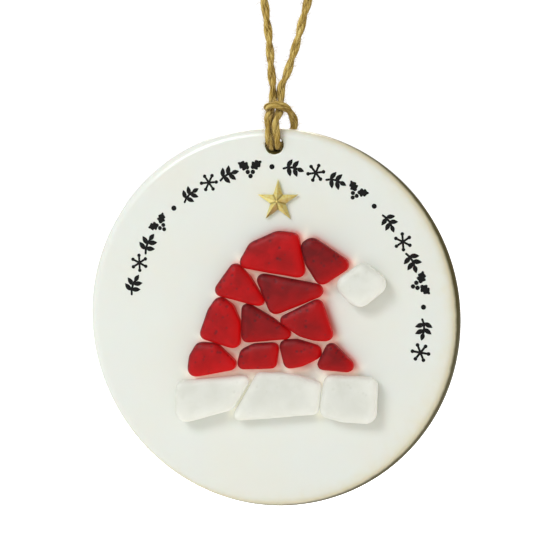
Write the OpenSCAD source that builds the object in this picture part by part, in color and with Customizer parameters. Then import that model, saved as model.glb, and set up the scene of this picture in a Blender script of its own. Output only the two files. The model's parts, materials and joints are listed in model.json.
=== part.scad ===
// Hanging Christmas ornament: a glazed ceramic disc with a hat of beach glass glued to its
// front, a brass star above the hat, and a loop of jute twine cow-hitched through its hole.
// +Z is up, the front faces -Y, and the origin is the point in the twine loop where a hook bears.

/* [Ceramic disc] */
// Outer diameter of the disc
disc_diameter = 76; // [75.5:0.1:76.2]
// Thickness of the disc
disc_thickness = 5; // [4.6:0.1:5]
// Radius of the disc's rounded edges
disc_edge_radius = 2; // [1:0.1:2.2]
// Diameter of the hanging hole
hole_diameter = 3.4; // [3.4:0.1:3.8]
// Height of the hanging hole above the middle of the layout, which the decoration is set out from
hole_height = 34.2; // [34.15:0.05:34.3]
// How far the disc's own centre lies to the left of the layout's middle
disc_shift_left = 1; // [0.5:0.1:1.1]
// How far the disc's own centre lies below the layout's middle
disc_shift_down = 0.3; // [0:0.1:0.4]

/* [Beach glass] */
// Thickness of the thickest glass pieces
thick_glass = 3.4; // [3:0.1:4]
// Thickness of the middling glass pieces
medium_glass = 3.1; // [2.6:0.1:3.6]
// Thickness of the thinnest glass pieces
thin_glass = 2.8; // [2.2:0.1:3.2]
// Height and depth of the worn edge all round a glass piece
glass_edge = 0.6; // [0.3:0.1:0.8]

/* [Glue] */
// Thickness of the clear glue between the disc and what it carries
glue_thickness = 0.3; // [0.1:0.1:0.5]
// How far the glue stops short of a piece's outline
glue_margin = 0.5; // [0.2:0.1:0.8]

/* [Brass star] */
// Radius of the star's points
star_radius = 4.3; // [3.5:0.1:4.8]
// Radius of the notches between the points
star_notch_radius = 1.6; // [1.2:0.1:2.4]
// Height of the star's peak above its back
star_height = 1.5; // [1:0.1:2]
// Thickness of the star at its outline
star_rim = 0.3; // [0.2:0.1:0.6]

/* [Jute twine] */
// Diameter of the twine
twine_diameter = 1.5; // [1.3:0.1:1.5]
// Height above the layout's middle at which the disc rocks in its hitch
rock_height = 43.25; // [43.2:0.05:43.4]
// Height above the layout's middle at which the neck of the twine ends
neck_top = 44.6; // [44.4:0.1:44.6]
// Gap between two lengths of twine that turn against each other
turn_gap = 0.2; // [0.15:0.05:0.2]
// Diameter of the overhand knot
knot_diameter = 5; // [4.6:0.1:6]
// Height of the overhand knot
knot_height = 4.6; // [4.2:0.1:5]

/* [Hidden] */
$fn = 48;

disc_radius = disc_diameter / 2;
half_thickness = disc_thickness / 2;
// Height of the origin, in the crotch of the loop, above the layout's middle
hook_height = 85;
// Plane that the backs of the glass pieces and the star lie in
glass_back = -(half_thickness + glue_thickness);
// Distance that a cut runs past the solid it cuts
overshoot = 1;

// Rounded corners of the glass pieces: [right of the layout's middle, above it, corner radius]
crown_corners = [[-5.2, 11.1, 1.2], [5.2, 9.6, 1.3], [4.0, 15.6, 1.3], [1.5, 14.2, 3], [-3, 13.2, 2]];
tail_corners = [[7.3, 14.2, 1.3], [8, 14.4, 1.5], [13.9, 10.8, 1.3], [10.1, 8.4, 1.4], [8.3, 11.6, 1.6]];
upper_left_corners = [[-7.4, 9.6, 1.1], [-5.8, 7.2, 1.6], [-2.6, 3.45, 0.9], [-10.2, 5.5, 1.2]];
upper_middle_corners = [[-1.8, 7.6, 1.1], [0.8, 2.5, 1.5], [8.8, 5.6, 1.3]];
left_corners = [
    [-10.5, 2.6, 1.3], [-9.2, 1.5, 1.5], [-8.2, -1.2, 1.7],
    [-7.9, -4.6, 1.35], [-13.3, -3.2, 1.2], [-11.4, 0.8, 1.6]
];
middle_corners = [[-5, 1.7, 1.05], [-1.2, -0.7, 1.3], [2.7, -3, 0.95], [-5, -3.7, 1.05]];
right_corners = [[9, 2.7, 1.15], [10.9, -2.9, 1.2], [8.8, -2.6, 1.5], [6.2, -1.9, 1.5], [2.8, -0.35, 1]];
lower_left_corners = [
    [-14.4, -6.5, 1.35], [-11.8, -6.6, 1.25], [-8.6, -9.3, 1.15], [-15.6, -10.4, 1.5], [-14.9, -8.4, 1.9]
];
lower_mid_left_corners = [
    [-3.3, -6.6, 1.45], [0.1, -6, 1.1], [-0.2, -8.9, 1], [-5.9, -9.1, 1.1], [-5, -7.6, 1.6]
];
lower_mid_right_corners = [
    [2.9, -5.5, 1.25], [5, -5.4, 1.3], [8.4, -6.5, 1.4], [5.6, -7.9, 1.45], [3.6, -8.6, 1.15]
];
lower_right_corners = [[11.9, -5.8, 1.05], [15.1, -9, 1.15], [10.3, -8.8, 1]];
pompom_corners = [[18.2, 9, 2], [20.4, 7.2, 2.1], [17.6, 4.9, 2.1], [16.4, 5.3, 1.9], [15.2, 7, 1.9]];
brim_left_corners = [[-17.9, -14.6, 1.7], [-17.6, -18.9, 2.2], [-9.3, -16.8, 1.8], [-5.8, -12.6, 0.95]];
brim_middle_corners = [
    [-2.2, -12.2, 1.3], [1, -12.9, 2], [4.2, -13.1, 2],
    [8.5, -13.5, 1.35], [7.9, -17.3, 1.5], [-6.7, -19.4, 1.05]
];
brim_right_corners = [
    [12, -12.5, 1.5], [11.4, -17.7, 1.6], [14.5, -17.8, 2.2], [18.8, -18.1, 2], [19.5, -12.8, 1.5]
];

// Star: its centre, right of and above the layout's middle, and the count of its points
star_centre = [0.9, 23.1];
star_points = 5;

// Twine: half the distance between two lengths that lie side by side, and a tube's side count
strand_offset = 0.8;
tube_sides = 8;
twine_radius = twine_diameter / 2;
// Height at which a strand of the hitch starts, just under the round end of the neck
hitch_top = rock_height - twine_radius - 0.1;
// Height at which the loop's legs start and at which they run into the knot
leg_bottom = neck_top + turn_gap;
leg_top = 86.2;
knot_top = leg_top + knot_height;

// Routes of the twine, from the layout's middle: [right, back, up]
leg_left_route = [
    [-strand_offset, 0, leg_bottom], [-0.8, 0, 45.3], [-1.1, 0.1, 48], [-1.4, 0.3, 51.5], [-1.7, 0.4, 55],
    [-2.1, 0.3, 58.5], [-2.5, 0, 62], [-3, -0.3, 65.5], [-3.5, -0.5, 69], [-3.8, -0.5, 72.5],
    [-3.7, -0.4, 76], [-3, -0.2, 79.5], [-2, -0.1, 82.4], [-1.1, 0, 84.4],
    [-strand_offset, 0, 85.6], [-strand_offset, 0, leg_top]
];
leg_right_route = [
    [strand_offset, 0, leg_bottom], [0.8, 0, 45.3], [2, -0.2, 48], [3.2, -0.4, 51.5], [4.3, -0.4, 55],
    [5.2, -0.2, 58.5], [6.1, 0.1, 62], [6.8, 0.4, 65.5], [7.3, 0.6, 69], [7.3, 0.6, 72.5],
    [6.6, 0.5, 76], [5.1, 0.3, 79.5], [3.1, 0.1, 82.4], [1.4, 0, 84.4],
    [strand_offset, 0, 85.6], [strand_offset, 0, leg_top]
];
tail_left_route = [[-strand_offset, 0, knot_top], [-1, -0.1, 92.4], [-2, -0.4, 95.4], [-3.8, -0.6, 98]];
tail_right_route = [[strand_offset, 0, knot_top], [1.1, 0.2, 92.2], [2.6, 0.5, 94.8], [4.8, 0.5, 96.4]];
// Right side of the hitch: down the front, back through the hole, and up round both legs
hitch_right_route = [
    [strand_offset, -0.05, hitch_top], [0.75, -0.35, 41.6], [0.65, -0.9, 40.7], [0.5, -1.9, 39.6],
    [0.45, -2.9, 38.6], [0.5, -3.35, 37.3], [0.7, -3.35, 35.7], [0.76, -3.1, 34.7], [0.76, -2.3, 34.2],
    [0.76, 2.3, 33.8], [0.8, 3.1, 33.95], [1, 3.45, 34.8], [1.4, 3.5, 35.7], [2.1, 3.4, 36.7],
    [2.7, 3.3, 37.8], [2.85, 2.7, 39], [2.75, 1.4, 40], [2.45, 0, 40.9], [1.9, -1.3, 41.6],
    [0.8, -2.05, 42]
];
// Left side of the hitch, which lies closer to the legs
hitch_left_route = [
    [-strand_offset, -0.05, hitch_top], [-0.85, -0.35, 41.6], [-0.95, -0.9, 40.7], [-1.1, -1.9, 39.6],
    [-1.1, -2.9, 38.6], [-1, -3.35, 37.3], [-0.82, -3.35, 35.7], [-0.76, -3.1, 34.7],
    [-0.76, -2.3, 34.2], [-0.76, 2.3, 33.8], [-0.8, 3.1, 33.95], [-1, 3.45, 34.8], [-1.4, 3.5, 35.7],
    [-2, 3.45, 36.7], [-2.4, 3.3, 37.7], [-2.4, 2.7, 38.9], [-2.1, 1.4, 40], [-1.75, 0, 41],
    [-1.45, -1.45, 41.7], [-0.7, -2.05, 42.05]
];
// Both sides: the right one forwards, then the left one backwards
hitch_route = concat(
    hitch_right_route,
    [for (i = [len(hitch_left_route) - 1 : -1 : 0]) hitch_left_route[i]]
);

function unit(v) = v / norm(v);

// Direction of a route at point i
function heading(route, i) = unit(route[min(i + 1, len(route) - 1)] - route[max(i - 1, 0)]);

// Part of a sideways direction that is square to a heading
function square_to(side, ahead) = unit(side - (side * ahead) * ahead);

// One sideways direction at each point of a route, carried along it without spinning
function sides(route) = [
    for (
        i = 0, side = square_to([0, 1, 0.01], heading(route, 0));
        i < len(route);
        i = i + 1, side = square_to(side, heading(route, min(i, len(route) - 1)))
    ) side
];

// Closed tube of the twine's diameter along a route
module twine_tube(route) {
    last = len(route) - 1;
    side = sides(route);
    points = [
        for (i = [0 : last], k = [0 : tube_sides - 1])
            let (angle = 360 * k / tube_sides, other = cross(heading(route, i), side[i]))
            route[i] + twine_radius * (cos(angle) * side[i] + sin(angle) * other)
    ];
    function corner(i, k) = i * tube_sides + k % tube_sides;
    walls = [
        for (i = [0 : last - 1], k = [0 : tube_sides - 1])
            each [
                [corner(i, k), corner(i + 1, k), corner(i + 1, k + 1)],
                [corner(i, k), corner(i + 1, k + 1), corner(i, k + 1)]
            ]
    ];
    start_cap = [for (k = [0 : tube_sides - 1]) corner(0, k)];
    end_cap = [for (k = [tube_sides - 1 : -1 : 0]) corner(last, k)];
    polyhedron(points, concat(walls, [start_cap, end_cap]));
}

// Puts a shape given from the layout's middle into the part's own frame
module from_layout() {
    translate([0, 0, -hook_height]) children();
}

// Stands a shape drawn on the flat, with its third axis forwards, on the plane y
module facing_front(y) {
    from_layout() translate([0, y, 0]) rotate([90, 0, 0]) children();
}

// Glass piece: rounded corners joined by straight sides, with a worn edge at the back and front
module glass_piece(corners, thickness) {
    facing_front(glass_back) hull() {
        for (c = corners) translate([c[0], c[1], 0]) {
            translate([0, 0, glass_edge]) cylinder(r = c[2], h = thickness - 2 * glass_edge, $fn = 32);
            cylinder(r = c[2] - glass_edge / 2, h = thickness - glass_edge / 3, $fn = 32);
            cylinder(r = c[2] - glass_edge, h = thickness, $fn = 32);
        }
    }
}

// Flat bed of glue under a glass piece
module glue_bed(corners) {
    facing_front(-half_thickness) hull() {
        for (c = corners) translate([c[0], c[1], 0])
            cylinder(r = c[2] - glue_margin, h = glue_thickness, $fn = 24);
    }
}

// Outline of the star, point up
module star_outline(tip, notch) {
    step = 180 / star_points;
    polygon([
        for (i = [0 : 2 * star_points - 1])
            let (radius = i % 2 == 0 ? tip : notch)
            radius * [sin(step * i), cos(step * i)]
    ]);
}

module ceramic_disc() {
    inner = disc_radius - disc_edge_radius;
    color("#E6E8E2") from_layout() rotate([90, 0, 0]) difference() {
        translate([-disc_shift_left, -disc_shift_down, 0]) rotate_extrude($fn = 96) {
            translate([0, -half_thickness]) square([inner, disc_thickness]);
            translate([0, disc_edge_radius - half_thickness])
                square([disc_radius, disc_thickness - 2 * disc_edge_radius]);
            for (side = [-1, 1]) intersection() {
                translate([inner, side * (half_thickness - disc_edge_radius)]) circle(disc_edge_radius);
                translate([0, -half_thickness]) square([disc_radius, disc_thickness]);
            }
        }
        translate([0, hole_height, -half_thickness - overshoot])
            cylinder(d = hole_diameter, h = disc_thickness + 2 * overshoot);
    }
}

module red_glass_crown() {
    color("#B8141C") glass_piece(crown_corners, medium_glass);
}

module red_glass_tail() {
    color("#7E1A1E") glass_piece(tail_corners, medium_glass);
}

module red_glass_upper_left() {
    color("#C01018") glass_piece(upper_left_corners, thick_glass);
}

module red_glass_upper_middle() {
    color("#8A1A1E") glass_piece(upper_middle_corners, medium_glass);
}

module red_glass_left() {
    color("#B0141A") glass_piece(left_corners, thick_glass);
}

module red_glass_middle() {
    color("#7A1216") glass_piece(middle_corners, medium_glass);
}

module red_glass_right() {
    color("#86181C") glass_piece(right_corners, medium_glass);
}

module red_glass_lower_left() {
    color("#C01018") glass_piece(lower_left_corners, thick_glass);
}

module red_glass_lower_mid_left() {
    color("#981418") glass_piece(lower_mid_left_corners, thin_glass);
}

module red_glass_lower_mid_right() {
    color("#981418") glass_piece(lower_mid_right_corners, thin_glass);
}

module red_glass_lower_right() {
    color("#86181C") glass_piece(lower_right_corners, medium_glass);
}

module white_glass_pompom() {
    color("#DCDED6") glass_piece(pompom_corners, thick_glass);
}

module white_glass_brim_left() {
    color("#DCDED6") glass_piece(brim_left_corners, thick_glass);
}

module white_glass_brim_middle() {
    color("#DCDED6") glass_piece(brim_middle_corners, thin_glass);
}

module white_glass_brim_right() {
    color("#DCDED6") glass_piece(brim_right_corners, medium_glass);
}

module brass_star() {
    color("#C9A83A") facing_front(glass_back) translate([star_centre.x, star_centre.y, 0]) {
        linear_extrude(star_rim) star_outline(star_radius, star_notch_radius);
        translate([0, 0, star_rim])
            linear_extrude(star_height - star_rim, scale = 0) star_outline(star_radius, star_notch_radius);
    }
}

module glue_under_hat_top() {
    color("#F2EBD8") {
        glue_bed(crown_corners);
        glue_bed(tail_corners);
        glue_bed(upper_left_corners);
        glue_bed(upper_middle_corners);
    }
}

module glue_under_hat_bottom() {
    color("#F2EBD8") {
        glue_bed(left_corners);
        glue_bed(middle_corners);
        glue_bed(right_corners);
        glue_bed(lower_left_corners);
        glue_bed(lower_mid_left_corners);
        glue_bed(lower_mid_right_corners);
        glue_bed(lower_right_corners);
    }
}

module glue_under_brim() {
    color("#F2EBD8") {
        glue_bed(brim_left_corners);
        glue_bed(brim_middle_corners);
        glue_bed(brim_right_corners);
    }
}

module glue_under_pompom() {
    color("#F2EBD8") glue_bed(pompom_corners);
}

module glue_under_star() {
    color("#F2EBD8") facing_front(-half_thickness) translate([star_centre.x, star_centre.y, 0])
        cylinder(r = star_notch_radius, h = glue_thickness);
}

module twine_leg_left() {
    color("#C8A868") from_layout() twine_tube(leg_left_route);
}

module twine_leg_right() {
    color("#C8A868") from_layout() twine_tube(leg_right_route);
}

// Overhand knot that ties the two legs together, with its two short tails
module tie_knot() {
    fillet = knot_height / 4;
    color("#B89458") from_layout() {
        translate([0, 0, leg_top]) rotate_extrude() {
            square([knot_diameter / 2 - fillet, knot_height]);
            translate([0, fillet]) square([knot_diameter / 2, knot_height - 2 * fillet]);
            for (z = [fillet, knot_height - fillet])
                translate([knot_diameter / 2 - fillet, z]) circle(fillet);
        }
        twine_tube(tail_left_route);
        twine_tube(tail_right_route);
    }
}

// Two lengths of twine side by side between the loop and the hitch. Their lower ends are round
// about the level axis that the disc rocks on.
module twine_neck() {
    height = neck_top - rock_height;
    color("#C8A868") from_layout() for (side = [-1, 1]) translate([side * strand_offset, 0, rock_height]) {
        intersection() {
            translate([0, 0, -twine_radius]) cylinder(r = twine_radius, h = height + twine_radius);
            union() {
                rotate([0, 90, 0]) cylinder(r = twine_radius, h = twine_diameter, center = true);
                translate([-twine_radius, -twine_radius, 0]) cube([twine_diameter, twine_diameter, height]);
            }
        }
    }
}

// Cow hitch round the bridge of ceramic above the hole
module twine_hitch() {
    color("#C8A868") from_layout() twine_tube(hitch_route);
}

ceramic_disc();
red_glass_crown();
red_glass_tail();
red_glass_upper_left();
red_glass_upper_middle();
red_glass_left();
red_glass_middle();
red_glass_right();
red_glass_lower_left();
red_glass_lower_mid_left();
red_glass_lower_mid_right();
red_glass_lower_right();
white_glass_pompom();
white_glass_brim_left();
white_glass_brim_middle();
white_glass_brim_right();
brass_star();
glue_under_hat_top();
glue_under_hat_bottom();
glue_under_brim();
glue_under_pompom();
glue_under_star();
twine_leg_left();
twine_leg_right();
tie_knot();
twine_neck();
twine_hitch();
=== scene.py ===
"""A hanging ornament: a glazed stoneware disc with a hat of beach glass, a brass star and an inked
garland on its front, and a loop of jute twine cow-hitched through its hole.

Metres, +Z up, the front faces -Y, and the origin is where a hook bears in the loop.
"""

import json
import logging
import math
from collections.abc import Callable, Sequence
from dataclasses import dataclass, field
from enum import Enum
from functools import partial

import bmesh
import bpy
import numpy as np
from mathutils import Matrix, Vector, kdtree, noise

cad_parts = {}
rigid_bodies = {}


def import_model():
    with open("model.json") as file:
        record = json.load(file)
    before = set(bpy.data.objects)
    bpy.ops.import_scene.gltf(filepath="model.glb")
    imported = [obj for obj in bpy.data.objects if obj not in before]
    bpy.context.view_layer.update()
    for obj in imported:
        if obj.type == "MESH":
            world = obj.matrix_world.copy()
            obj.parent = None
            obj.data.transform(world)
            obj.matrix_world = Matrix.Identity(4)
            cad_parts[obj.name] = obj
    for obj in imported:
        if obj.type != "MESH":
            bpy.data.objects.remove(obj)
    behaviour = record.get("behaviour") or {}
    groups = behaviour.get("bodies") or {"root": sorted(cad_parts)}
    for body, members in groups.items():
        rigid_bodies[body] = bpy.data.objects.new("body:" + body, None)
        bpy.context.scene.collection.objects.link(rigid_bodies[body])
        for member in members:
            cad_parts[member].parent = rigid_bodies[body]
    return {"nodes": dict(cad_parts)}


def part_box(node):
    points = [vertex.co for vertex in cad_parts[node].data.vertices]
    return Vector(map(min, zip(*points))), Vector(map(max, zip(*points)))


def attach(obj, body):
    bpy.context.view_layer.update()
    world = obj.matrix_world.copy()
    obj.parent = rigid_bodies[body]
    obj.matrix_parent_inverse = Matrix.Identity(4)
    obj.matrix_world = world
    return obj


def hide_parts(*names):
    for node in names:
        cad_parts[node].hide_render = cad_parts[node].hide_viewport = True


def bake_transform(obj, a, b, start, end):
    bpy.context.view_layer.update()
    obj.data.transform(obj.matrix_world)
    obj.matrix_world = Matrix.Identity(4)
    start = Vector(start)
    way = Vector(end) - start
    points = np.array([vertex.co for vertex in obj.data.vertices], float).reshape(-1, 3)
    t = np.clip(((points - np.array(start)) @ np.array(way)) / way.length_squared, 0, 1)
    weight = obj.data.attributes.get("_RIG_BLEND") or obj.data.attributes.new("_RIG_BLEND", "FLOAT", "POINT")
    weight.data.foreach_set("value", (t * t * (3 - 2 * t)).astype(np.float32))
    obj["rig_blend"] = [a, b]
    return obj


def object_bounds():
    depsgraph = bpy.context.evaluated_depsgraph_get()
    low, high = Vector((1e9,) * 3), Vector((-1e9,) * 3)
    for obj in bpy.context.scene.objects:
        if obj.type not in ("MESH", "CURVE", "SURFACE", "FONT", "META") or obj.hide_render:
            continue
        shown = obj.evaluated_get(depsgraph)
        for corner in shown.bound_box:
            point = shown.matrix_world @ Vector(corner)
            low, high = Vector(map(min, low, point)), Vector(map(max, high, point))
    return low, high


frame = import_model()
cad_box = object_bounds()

LOG = logging.getLogger("ornament")
MM = 0.001
Point = tuple[float, float, float]
Stops = Sequence[tuple[float, str]]
Mesh = bpy.types.Mesh
Socket = bpy.types.NodeSocket


# ---------------------------------------------------------------- colours, nodes and meshes

def linear(colour: str) -> tuple[float, float, float, float]:
    """Turn an sRGB hex value into the linear colour that a socket takes.

    Args:
        colour: "#RRGGBB".

    Returns:
        Linear red, green and blue, and an alpha of 1.
    """
    channels = [int(colour[i:i + 2], 16) / 255 for i in (1, 3, 5)]
    return (*(c / 12.92 if c <= 0.04045 else ((c + 0.055) / 1.055) ** 2.4 for c in channels), 1.0)


def wire(node: bpy.types.Node, links: dict) -> None:
    """Fill a node's inputs.

    Args:
        node: The node.
        links: Input name or index to the output that feeds it, or to its own value.
    """
    for key, value in links.items():
        if isinstance(value, Socket):
            node.id_data.links.new(value, node.inputs[key])
        else:
            node.inputs[key].default_value = value


def add_node(
    tree: bpy.types.NodeTree, kind: str, links: dict | None = None, out: int | str = 0,
    stops: Stops = (), **settings: object,
) -> Socket | None:
    """Add a node with its settings and links.

    Args:
        tree: The tree that takes the node.
        kind: The node's type name.
        links: Inputs, as wire takes them.
        out: Name or index of the output that is wanted.
        stops: A colour ramp's positions and hex values, from low to high.
        **settings: Attributes of the node.

    Returns:
        That output, or None where the node has none.
    """
    node = tree.nodes.new(kind)
    for name, value in settings.items():
        setattr(node, name, value)
    for i, (position, colour) in enumerate(stops):
        elements = node.color_ramp.elements
        element = elements[i] if i < len(elements) else elements.new(position)
        element.position = position
        element.color = linear(colour)
    wire(node, links or {})
    return node.outputs[out] if node.outputs else None


def new_material(name: str, uniform: dict) -> tuple[bpy.types.Material, Callable, bpy.types.Node]:
    """Start a material.

    Args:
        name: The material's name.
        uniform: Values of the shader that are the same all over the surface.

    Returns:
        The material, add_node for its tree, and its Principled shader.
    """
    material = bpy.data.materials.new(name)
    material.use_nodes = True
    material.node_tree.nodes.clear()
    add = partial(add_node, material.node_tree)
    surface = add("ShaderNodeBsdfPrincipled", uniform)
    add("ShaderNodeOutputMaterial", {"Surface": surface})
    return material, add, surface.node


def mottled(
    add: Callable, size: float, stops: Stops, detail: float = 2.0, distortion: float = 0.0
) -> tuple[Socket, Socket]:
    """Colour a surface in soft patches of a real size.

    Args:
        add: add_node for the material's tree.
        size: Size of a patch in metres.
        stops: The patches' colours.
        detail: How finely the patches break up.
        distortion: How far they are drawn out.

    Returns:
        The colour, and the noise that it follows.
    """
    patches = add("ShaderNodeTexNoise", {
        "Vector": add("ShaderNodeTexCoord", out="Object"), "Scale": 1 / size, "Detail": detail,
        "Distortion": distortion,
    })
    return add("ShaderNodeValToRGB", {"Fac": patches}, stops=stops), patches


def tinted(add: Callable, colour: Socket, share: Socket | str, tint: str) -> Socket:
    """Lay a colour over another.

    Args:
        add: add_node for the material's tree.
        colour: The colour underneath.
        share: How strongly the new one covers it, as an output or as the name of a mesh's attribute.
        tint: The new colour.

    Returns:
        The mixed colour.
    """
    if isinstance(share, str):
        share = add("ShaderNodeAttribute", out="Fac", attribute_name=share)
    return add("ShaderNodeMix", {0: share, 6: colour, 7: linear(tint)}, 2, data_type="RGBA")


def geometry_tree(
    name: str, inputs: dict[str, str]
) -> tuple[bpy.types.NodeTree, Callable, Sequence[Socket], Callable[[Socket], None]]:
    """Start a geometry tree with a Geometry input, its named inputs and a Material input.

    Args:
        name: The tree's name.
        inputs: Name of each further input and its kind, such as "Float" or "Int".

    Returns:
        The tree, add_node for it, its inputs by name, and a function that ends it on a geometry.
    """
    tree = bpy.data.node_groups.new(name, "GeometryNodeTree")
    for label, kind in {"Geometry": "Geometry", **inputs, "Material": "Material"}.items():
        tree.interface.new_socket(label, in_out="INPUT", socket_type=f"NodeSocket{kind}")
    tree.interface.new_socket("Geometry", in_out="OUTPUT", socket_type="NodeSocketGeometry")
    add = partial(add_node, tree)
    given = add("NodeGroupInput").node.outputs

    def end(geometry: Socket) -> None:
        """Realize the instances, set the material and feed the tree's output.

        Args:
            geometry: What the tree has made.
        """
        real = add("GeometryNodeRealizeInstances", {0: geometry})
        dressed = add("GeometryNodeSetMaterial", {"Geometry": real, "Material": given["Material"]})
        add("NodeGroupOutput", {0: dressed})

    return tree, add, given, end


def plain_mesh(holder: bpy.types.Object) -> Mesh:
    """Bake an object's modifiers into a new mesh, and remove the object and its old mesh.

    Args:
        holder: The object with its modifiers.

    Returns:
        The new mesh.
    """
    old = holder.data
    depsgraph = bpy.context.evaluated_depsgraph_get()
    mesh = bpy.data.meshes.new_from_object(
        holder.evaluated_get(depsgraph), preserve_all_data_layers=True, depsgraph=depsgraph
    )
    holder.modifiers.clear()
    bpy.data.objects.remove(holder)
    bpy.data.meshes.remove(old)
    return mesh


def link_object(name: str, data: bpy.types.ID) -> bpy.types.Object:
    """Put a new object into the scene, at the origin.

    Args:
        name: The object's name.
        data: Its mesh, camera or light.

    Returns:
        The object.
    """
    thing = bpy.data.objects.new(name, data)
    bpy.context.collection.objects.link(thing)
    return thing


def grow(host: Mesh, tree: bpy.types.NodeTree, values: dict) -> Mesh:
    """Run a geometry tree on a mesh.

    Args:
        host: The mesh that the tree starts from; it is used up.
        tree: The tree.
        values: Name of each input and its value.

    Returns:
        The result as a plain mesh.
    """
    holder = link_object("host", host)
    modifier = holder.modifiers.new("grow", "NODES")
    modifier.node_group = tree
    sockets = {
        item.name: item.identifier
        for item in tree.interface.items_tree
        if item.item_type == "SOCKET" and item.in_out == "INPUT"
    }
    for label, value in values.items():
        modifier[sockets[label]] = value
    return plain_mesh(holder)


def new_mesh(name: str, points: np.ndarray, edges: Sequence = (), faces: Sequence = ()) -> Mesh:
    """Make a mesh with smooth faces.

    Args:
        name: Its name.
        points: Its points in metres.
        edges: Pairs of points, for a line.
        faces: Rings of points, for a surface.

    Returns:
        The mesh.
    """
    mesh = bpy.data.meshes.new(name)
    mesh.from_pydata(points.tolist(), edges, faces)
    mesh.shade_smooth()
    return mesh


def from_form(name: str, form: bmesh.types.BMesh) -> Mesh:
    """Turn a bmesh into a mesh, and free it.

    Args:
        name: The mesh's name.
        form: The bmesh; it is used up.

    Returns:
        The mesh.
    """
    mesh = bpy.data.meshes.new(name)
    form.to_mesh(mesh)
    form.free()
    return mesh


def read_points(mesh: Mesh, what: str = "co") -> np.ndarray:
    """Read the places, or with "normal" the normals, of a mesh's points.

    Args:
        mesh: The mesh.
        what: The attribute to read.

    Returns:
        One row for each point.
    """
    flat = np.empty(len(mesh.vertices) * 3)
    mesh.vertices.foreach_get(what, flat)
    return flat.reshape(-1, 3)


def move_points(mesh: Mesh, points: np.ndarray) -> None:
    """Give a mesh new places for its points."""
    mesh.vertices.foreach_set("co", points.ravel())
    mesh.update()


def paint(mesh: Mesh, name: str, values: np.ndarray) -> None:
    """Store one number at each of a mesh's points, for its material to read."""
    mesh.attributes.new(name, "FLOAT", "POINT").data.foreach_set("value", values.astype(np.float32))


def ripple(points: np.ndarray, size: float, seed: float) -> np.ndarray:
    """Smooth noise from about -1 to 1 at each point.

    Args:
        points: Places in metres.
        size: Distance between bumps, in metres.
        seed: Shifts the noise, so that two pieces differ.

    Returns:
        One number for each point.
    """
    offset = Vector((seed * 7.3, seed * 3.1, seed * 5.7))
    return np.array([noise.noise(Vector(p) / size + offset) for p in points])


def near_tree(points: Sequence[Point]) -> kdtree.KDTree:
    """Sort places so that the nearest one is found fast.

    Args:
        points: The places.

    Returns:
        A tree that finds them by their number.
    """
    tree = kdtree.KDTree(len(points))
    for i, place in enumerate(points):
        tree.insert(place, i)
    tree.balance()
    return tree


def make_piece(name: str, mesh: Mesh, slot: str, body: str | None = None) -> bpy.types.Object:
    """Put a finished mesh into the scene and report it.

    Args:
        name: The piece's name.
        mesh: Its mesh, in place and with its material.
        slot: The record's material slot of its finish, which is written to the log.
        body: The body that it rides on, or None where it is blended across a joint.

    Returns:
        The piece.
    """
    mesh.name = name
    piece = link_object(name, mesh)
    if body:
        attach(piece, body)
    LOG.info("%s: %d faces, slot %s", name, len(mesh.polygons), slot)
    return piece


def worn_copy(node: str, voxel: float, rounds: int) -> Mesh:
    """Copy a CAD node's mesh and wear its edges round.

    Args:
        node: The CAD node.
        voxel: Side of the remesh's cells in metres.
        rounds: How many times the copy is smoothed.

    Returns:
        A new closed mesh in the node's place.
    """
    form = bmesh.new()
    form.from_mesh(frame["nodes"][node].data)
    bmesh.ops.remove_doubles(form, verts=form.verts, dist=0.001 * MM)
    bmesh.ops.recalc_face_normals(form, faces=form.faces)
    holder = link_object("worn", from_form(node, form))
    remesh = holder.modifiers.new("remesh", "REMESH")
    remesh.mode = "VOXEL"
    remesh.voxel_size = voxel
    remesh.use_smooth_shade = True
    smooth = holder.modifiers.new("smooth", "SMOOTH")
    smooth.factor = 0.5
    smooth.iterations = rounds
    mesh = plain_mesh(holder)
    mesh.materials.clear()
    return mesh


# ---------------------------------------------------------------- finishes

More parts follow.
